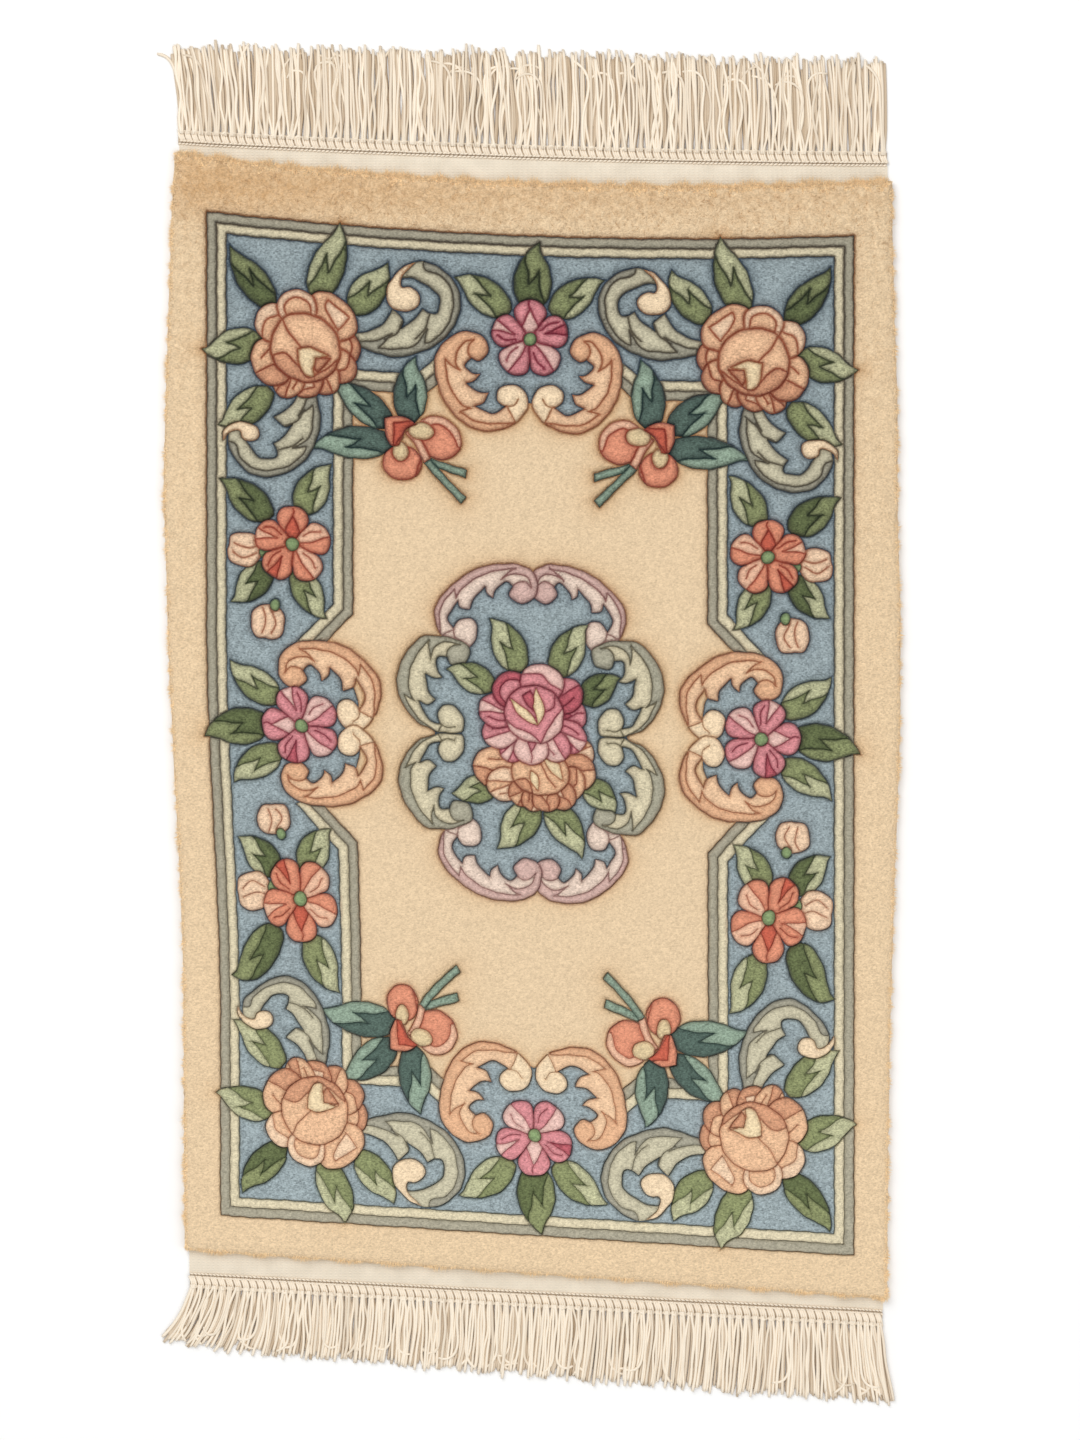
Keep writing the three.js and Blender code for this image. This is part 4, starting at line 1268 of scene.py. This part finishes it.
# Strands of one end, three to a knot and a darker layer under them painted as the shade between the upper
# strands, out to their uneven tips on the floor
def makeStrands(end, name):
    way, steps, low = end["way"], fringe["steps"], fringe["radius"] * fringe["lift"]
    paths, radii, tones = [], [], []
    t = np.linspace(0, 1, steps)
    sway = rng.normal(0, 1.0, fringe["sways"])
    for upper, count in ((False, fringe["under"]), (True, fringe["upper"])):
        for i in range(count):
            s = -1 + 2 * (i + .5) / count
            knot = (math.floor(i / count * fringe["knots"]) + .5) / fringe["knots"] * 2 - 1
            rootS = knot + (s - knot) * .5
            root = endPoint(end, rootS, 1.0, 0)
            tipY = endLine(end["tips"], s) + shift[1]
            length = abs(tipY - root[1]) * (1 + fringe["uneven"] * rng.normal())
            length = length + fringe["ragged"] * rng.normal()
            length -= 0 if upper else fringe["shorter"] * rng.random()
            angle = strandAngles(end, s, length, t, sway, upper)
            step = length / (steps - 1)
            x = root[0] + np.concatenate([[0], np.cumsum(np.sin(angle[:-1]) * step)])
            x = x + (s - rootS) * clothEdge * smoothStep(0, fringe["spreadBy"], t)
            y = root[1] - way * fringe["tuckIn"]
            y = y + way * np.concatenate([[0], np.cumsum(np.cos(angle[:-1]) * step)])
            height = low
            if upper:
                height = low + fringe["pileUp"] * fringe["radius"] * rng.random() + fringe["slope"] * (1 - t)
                height = height + fringe["arch"] * np.sin(t * 3.1) * abs(rng.normal())
            z = np.maximum(height + fringe["rootLift"] * np.exp(-(t / fringe["rootReach"]) ** 2), low)
            paths.append(np.column_stack([x, y, z]) * mm)
            radii.append(fringe["radius"] * rng.uniform(fringe["thin"], fringe["thick"]) * mm)
            tone = rng.normal(*fringe["upperTone" if upper else "underTone"])
            tones.append(float(np.clip(tone + end["bright"], 0, 1)))
    vertices, faces, tone = tubes(paths, radii, tones)
    return newObject(name, vertices, faces, [strandCotton], attributes={"tone": tone})


# Heading of one end: a strap slanting to each knot, two rows of chain stitch, on a tape painted dark as the
# shade between them.
# Points are given as for endPoint, tones as the darkest and how much lighter they may be
heading = {"straps": (-.27, 0, .27), "strap": ((.18, 2.2), (.62, 3.0), (1.18, 2.3)), "strapRadius": 1.12,
           "strapTone": (.84, .11), "wrapTone": (.85, .15), "stitchTone": (.9, .1),
           "wrap": ((-.4, 1.12, 2.2), (0, 1.16, 3.6), (.4, 1.12, 2.2)), "wrapRadius": 1.35, "wrapTuck": 1.2,
           "stitches": 168, "stitchRows": (0, .26), "stitchRadius": .85,
           "stitch": ((-.42, -.04, 2.4), (0, 0, 3.3), (.42, .05, 2.4)),
           "tape": ((-.05, 0), (-.05, 1.7), (.5, 2.2), (1.16, 1.5), (1.16, 0)), "tapeSteps": 120,
           "tapeTone": .3}


def makeHeading(end, name):
    way = end["way"]
    paths, radii, tones = [], [], []

    def add(kind, points, bright=0):
        paths.append(np.array(points) * mm)
        radii.append(heading[kind + "Radius"] * mm)
        darkest, more = heading[kind + "Tone"]
        tones.append(darkest + bright + more * rng.random())

    pitch = 2 / fringe["knots"]
    for k in range(fringe["knots"]):
        s = -1 + 2 * (k + .5) / fringe["knots"]
        for offset in heading["straps"]:
            foot, middle, head = (endPoint(end, s + offset * pitch, *at) for at in heading["strap"])
            foot[0] += way * fringe["lean"] / 2
            head[0] -= way * fringe["lean"] / 3
            add("strap", [foot, middle, head], end["bright"] / 2)
        wrap = [endPoint(end, s + aside * pitch, share, z) for aside, share, z in heading["wrap"]]
        wrap[0][1] -= way * heading["wrapTuck"]
        add("wrap", wrap)
    count = heading["stitches"]
    width = 2 / count
    for row, share in enumerate(heading["stitchRows"]):
        for k in range(count):
            s = -1 + 2 * (k + .5 + .5 * row) / count
            loop = [endPoint(end, min(1, s + aside * width), share + past, z)
                    for aside, past, z in heading["stitch"]]
            add("stitch", loop)
    vertices, faces, tone = tubes(paths, radii, tones)
    across = np.linspace(-1, 1, heading["tapeSteps"])
    tape = np.array([[endPoint(end, s, share, z) * mm for s in across] for share, z in heading["tape"]])
    added = gridFaces(len(tape), len(across), len(vertices))
    faces += (added if way > 0 else added[:, ::-1]).tolist()
    tape = tape.reshape(-1, 3)
    tone = np.concatenate([tone, np.full(len(tape), heading["tapeTone"])])
    return newObject(name, np.vstack([vertices, tape]), faces, [strandCotton], attributes={"tone": tone})


fringePieces = [makeStrands(topEnd, "fringe_top_strands"), makeStrands(bottomEnd, "fringe_bottom_strands")]
headingPieces = [makeHeading(topEnd, "fringe_top_heading"), makeHeading(bottomEnd, "fringe_bottom_heading")]
print("fringes laid")


# Wool fibres, each a thin spike on a three-cornered root
fibreWidth = 0.6


def spikes(roots, tips, name, halo, yarn="borderWool"):
    run = tips - roots
    side = np.cross(run, (0, 0, 1.0))
    side /= np.maximum(np.linalg.norm(side, axis=1), 1e-9)[:, None]
    lift = np.cross(side, run)
    lift /= np.maximum(np.linalg.norm(lift, axis=1), 1e-9)[:, None]
    half = fibreWidth / 2
    a, b, c = roots - side * half, roots + side * half, roots + lift * half
    vertices = np.stack([a, b, c, tips], axis=1).reshape(-1, 3)
    first = np.arange(len(roots))[:, None] * 4
    faces = np.vstack([first + corners for corners in ((0, 1, 3), (1, 2, 3), (2, 0, 3), (2, 1, 0))])
    total = len(vertices)
    stored = {"carve": np.ones(total), "near": np.zeros(total), "halo": np.repeat(halo, 4)}
    return newObject(name, vertices * mm, faces, [woolOf[yarn]], smooth=False, attributes=stored)


# Fibres that stand out from the rim of the pile, in locks
rimForm = {"count": 18000, "length": 3.8, "low": 1.0, "top": 10.8, "shoulder": 8.6, "slope": 1.1,
           "inset": .2, "spread": .45, "comb": -.25, "rise": (-.05, .25), "halo": .2, "floor": .3}


def makeRimFuzz():
    count = rimForm["count"]
    where = rng.uniform(0, len(rimLoop), count)
    index = where.astype(int)
    share = (where - index)[:, None]
    after = (index + 1) % len(rimLoop)
    at = rimLoop[index] * (1 - share) + rimLoop[after] * share
    normal = rimNormal[index] * (1 - share) + rimNormal[after] * share
    height = rng.uniform(rimForm["low"], rimForm["top"], count)
    above = height - rimForm["shoulder"]
    inset = np.where(height > rimForm["shoulder"], above * rimForm["slope"], rimForm["inset"])
    roots = np.column_stack([at - normal * inset[:, None] + shift, height])
    lock = .5 + .5 * np.sin(at[:, 1] / 3.7 + 1.8 * np.sin(at[:, 1] / 9.1) + at[:, 0] / 5.3)
    length = rimForm["length"] * (.35 + .95 * lock) * rng.uniform(.5, 1.25, count)
    aim = normal + rng.normal(0, rimForm["spread"], (count, 2)) + np.array([0, rimForm["comb"]])
    aim /= np.linalg.norm(aim, axis=1)[:, None]
    rise = rng.normal(*rimForm["rise"], count)
    halo = rng.uniform(0, rimForm["halo"], count)
    tips = roots + np.column_stack([aim * length[:, None], rise * length])
    tips[:, 2] = np.maximum(tips[:, 2], rimForm["floor"])
    return spikes(roots, tips, "pile_rim_fuzz", halo, "borderTipsLit")


# Long fibres combed out over the cloth along the top edge, rooted on the edge's curve and a little behind
lockForm = {"count": 12000, "length": 9.5, "back": 9, "curve": 5, "drop": 2.6, "edgeHeight": 11.2,
            "height": 11.4, "inset": 3, "aside": .42, "ahead": .3, "rise": (-.2, .2), "halo": .5}


def makeTopLocks():
    count, curve = lockForm["count"], lockForm["curve"]
    edge = rng.uniform(-1, 1, count)
    back = lockForm["back"] * rng.random(count) ** 1.5
    at = lay(np.column_stack([edge * (pileEdge - lockForm["inset"]), topPile - back]))
    onCurve = lockForm["edgeHeight"] - (1 - back / curve) ** 2 * lockForm["drop"]
    height = np.where(back < curve, onCurve, lockForm["height"])
    aside = rng.normal(0, lockForm["aside"], count)
    ahead = 1 + rng.normal(0, lockForm["ahead"], count)
    aim = np.column_stack([aside, ahead, rng.normal(*lockForm["rise"], count)])
    aim /= np.linalg.norm(aim, axis=1)[:, None]
    ragged = .5 + .5 * np.sin(at[:, 0] / 4.7 + 1.5 * np.sin(at[:, 0] / 11.3))
    lengths = lockForm["length"] * (.4 + .6 * ragged) * rng.uniform(.35, 1.1, count)
    roots = np.column_stack([at + shift, height])
    tips = roots + aim * lengths[:, None]
    return spikes(roots, tips, "pile_top_locks", rng.uniform(0, lockForm["halo"], count), "borderTipsLit")


# Short fibres all over the border, in small whorls, longest at the top
shagForm = {"count": 42000, "length": 5.2, "height": 11.3, "clear": 2.5, "from": 340, "to": 440, "swirl": .7,
            "comb": .3, "combBy": .6, "spread": .25, "rise": (.12, .5)}


def makeShag():
    count = shagForm["count"]
    x = rng.uniform(-pileEdge, pileEdge, count)
    y = rng.uniform(bottomPile, topPile, count)
    upper = smoothStep(shagForm["from"], shagForm["to"], y)
    clear = shagForm["clear"]
    keep = (np.abs(x) > chart["halfWidth"] + clear) | (np.abs(y) > chart["halfLength"] + clear)
    keep &= rng.random(count) < .2 + .8 * upper
    at = lay(np.column_stack([x, y])[keep])
    upper = upper[keep]
    x, y = at[:, 0], at[:, 1]
    turn = 1.2 * np.sin(x / 3.1 + 2 * np.sin(y / 4.3)) + np.sin(y / 2.7 + x / 5.1)
    clump = .5 + .5 * np.sin(x / 2.9 + 1.7 * np.sin(y / 3.7)) * np.sin(y / 3.3 + 1.3 * np.sin(x / 6.1))
    spread = shagForm["spread"]
    aside = shagForm["swirl"] * np.sin(turn) + rng.normal(0, spread, len(at))
    ahead = shagForm["comb"] + shagForm["combBy"] * np.cos(turn) + rng.normal(0, spread, len(at))
    aim = np.column_stack([aside, ahead, rng.uniform(*shagForm["rise"], len(at))])
    aim /= np.linalg.norm(aim, axis=1)[:, None]
    lengths = shagForm["length"] * rng.uniform(.5, 1.1, len(at)) * (.4 + .7 * upper)
    roots = np.column_stack([at + shift, np.full(len(at), shagForm["height"])])
    halo = np.clip(clump * rng.uniform(.6, 1.5, len(at)) - .15, 0, 1) * (.3 + .7 * upper)
    return spikes(roots, roots + aim * lengths[:, None], "pile_border_shag", halo)


rimFuzz = makeRimFuzz()
topLocks = makeTopLocks()
borderShag = makeShag()
print("fuzz grown")


# Each piece rides on the root body, and stands for what it dresses
for piece in pilePieces + [pileWall, rimFuzz, topLocks, borderShag]:
    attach(piece, "root")
for piece in [foundationCloth] + fringePieces + headingPieces:
    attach(piece, "root")
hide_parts("rug")
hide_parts("fringe_top")
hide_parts("fringe_bottom")


# Plain pale floor
def makeFloor():
    mesh = bpy.data.meshes.new("studioFloor")
    size = 6.0
    corners = [(-size, -size, 0), (size, -size, 0), (size, size, 0), (-size, size, 0)]
    mesh.from_pydata(corners, [], [(0, 1, 2, 3)])
    floor = bpy.data.objects.new("studioFloor", mesh)
    bpy.context.scene.collection.objects.link(floor)
    material, _, shader = newMaterial("floorPaint")
    shader.inputs["Base Color"].default_value = (.96, .96, .955, 1)
    shader.inputs["Roughness"].default_value = .95
    mesh.materials.append(material)


makeFloor()


# Soft studio light
lights = [
    {"name": "keyLight", "at": (-1.3, 1.6, 3.1), "size": 2.4, "power": 66.0},
    {"name": "fillLight", "at": (1.6, -1.5, 3.2), "size": 3.0, "power": 42.0},
]


def makeLights():
    for row in lights:
        data = bpy.data.lights.new(row["name"], "AREA")
        data.size = row["size"]
        data.energy = row["power"]
        lamp = bpy.data.objects.new(row["name"], data)
        lamp.location = row["at"]
        lamp.rotation_euler = (-Vector(row["at"])).to_track_quat("-Z", "Y").to_euler()
        bpy.context.scene.collection.objects.link(lamp)
    world = bpy.data.worlds.new("studio")
    bpy.context.scene.world = world
    world.use_nodes = True
    background = world.node_tree.nodes["Background"]
    background.inputs["Color"].default_value = (1, 1, 1, 1)
    background.inputs["Strength"].default_value = .55


def makeCamera():
    data = bpy.data.cameras.new("overhead")
    camera = bpy.data.objects.new("overhead", data)
    reach = viewFrom["imageHeight"] * viewFrom["mmPerPixel"] * mm
    data.sensor_width = viewFrom["sensor"]
    data.lens = viewFrom["sensor"] * viewFrom["height"] / reach
    camera.location = ((viewFrom["lookX"] + shift[0]) * mm, (viewFrom["lookY"] + shift[1]) * mm,
                       viewFrom["height"] + levels["plain"] * mm)
    bpy.context.scene.collection.objects.link(camera)
    bpy.context.scene.camera = camera


makeLights()
makeCamera()
bpy.context.scene.view_settings.view_transform = "Standard"
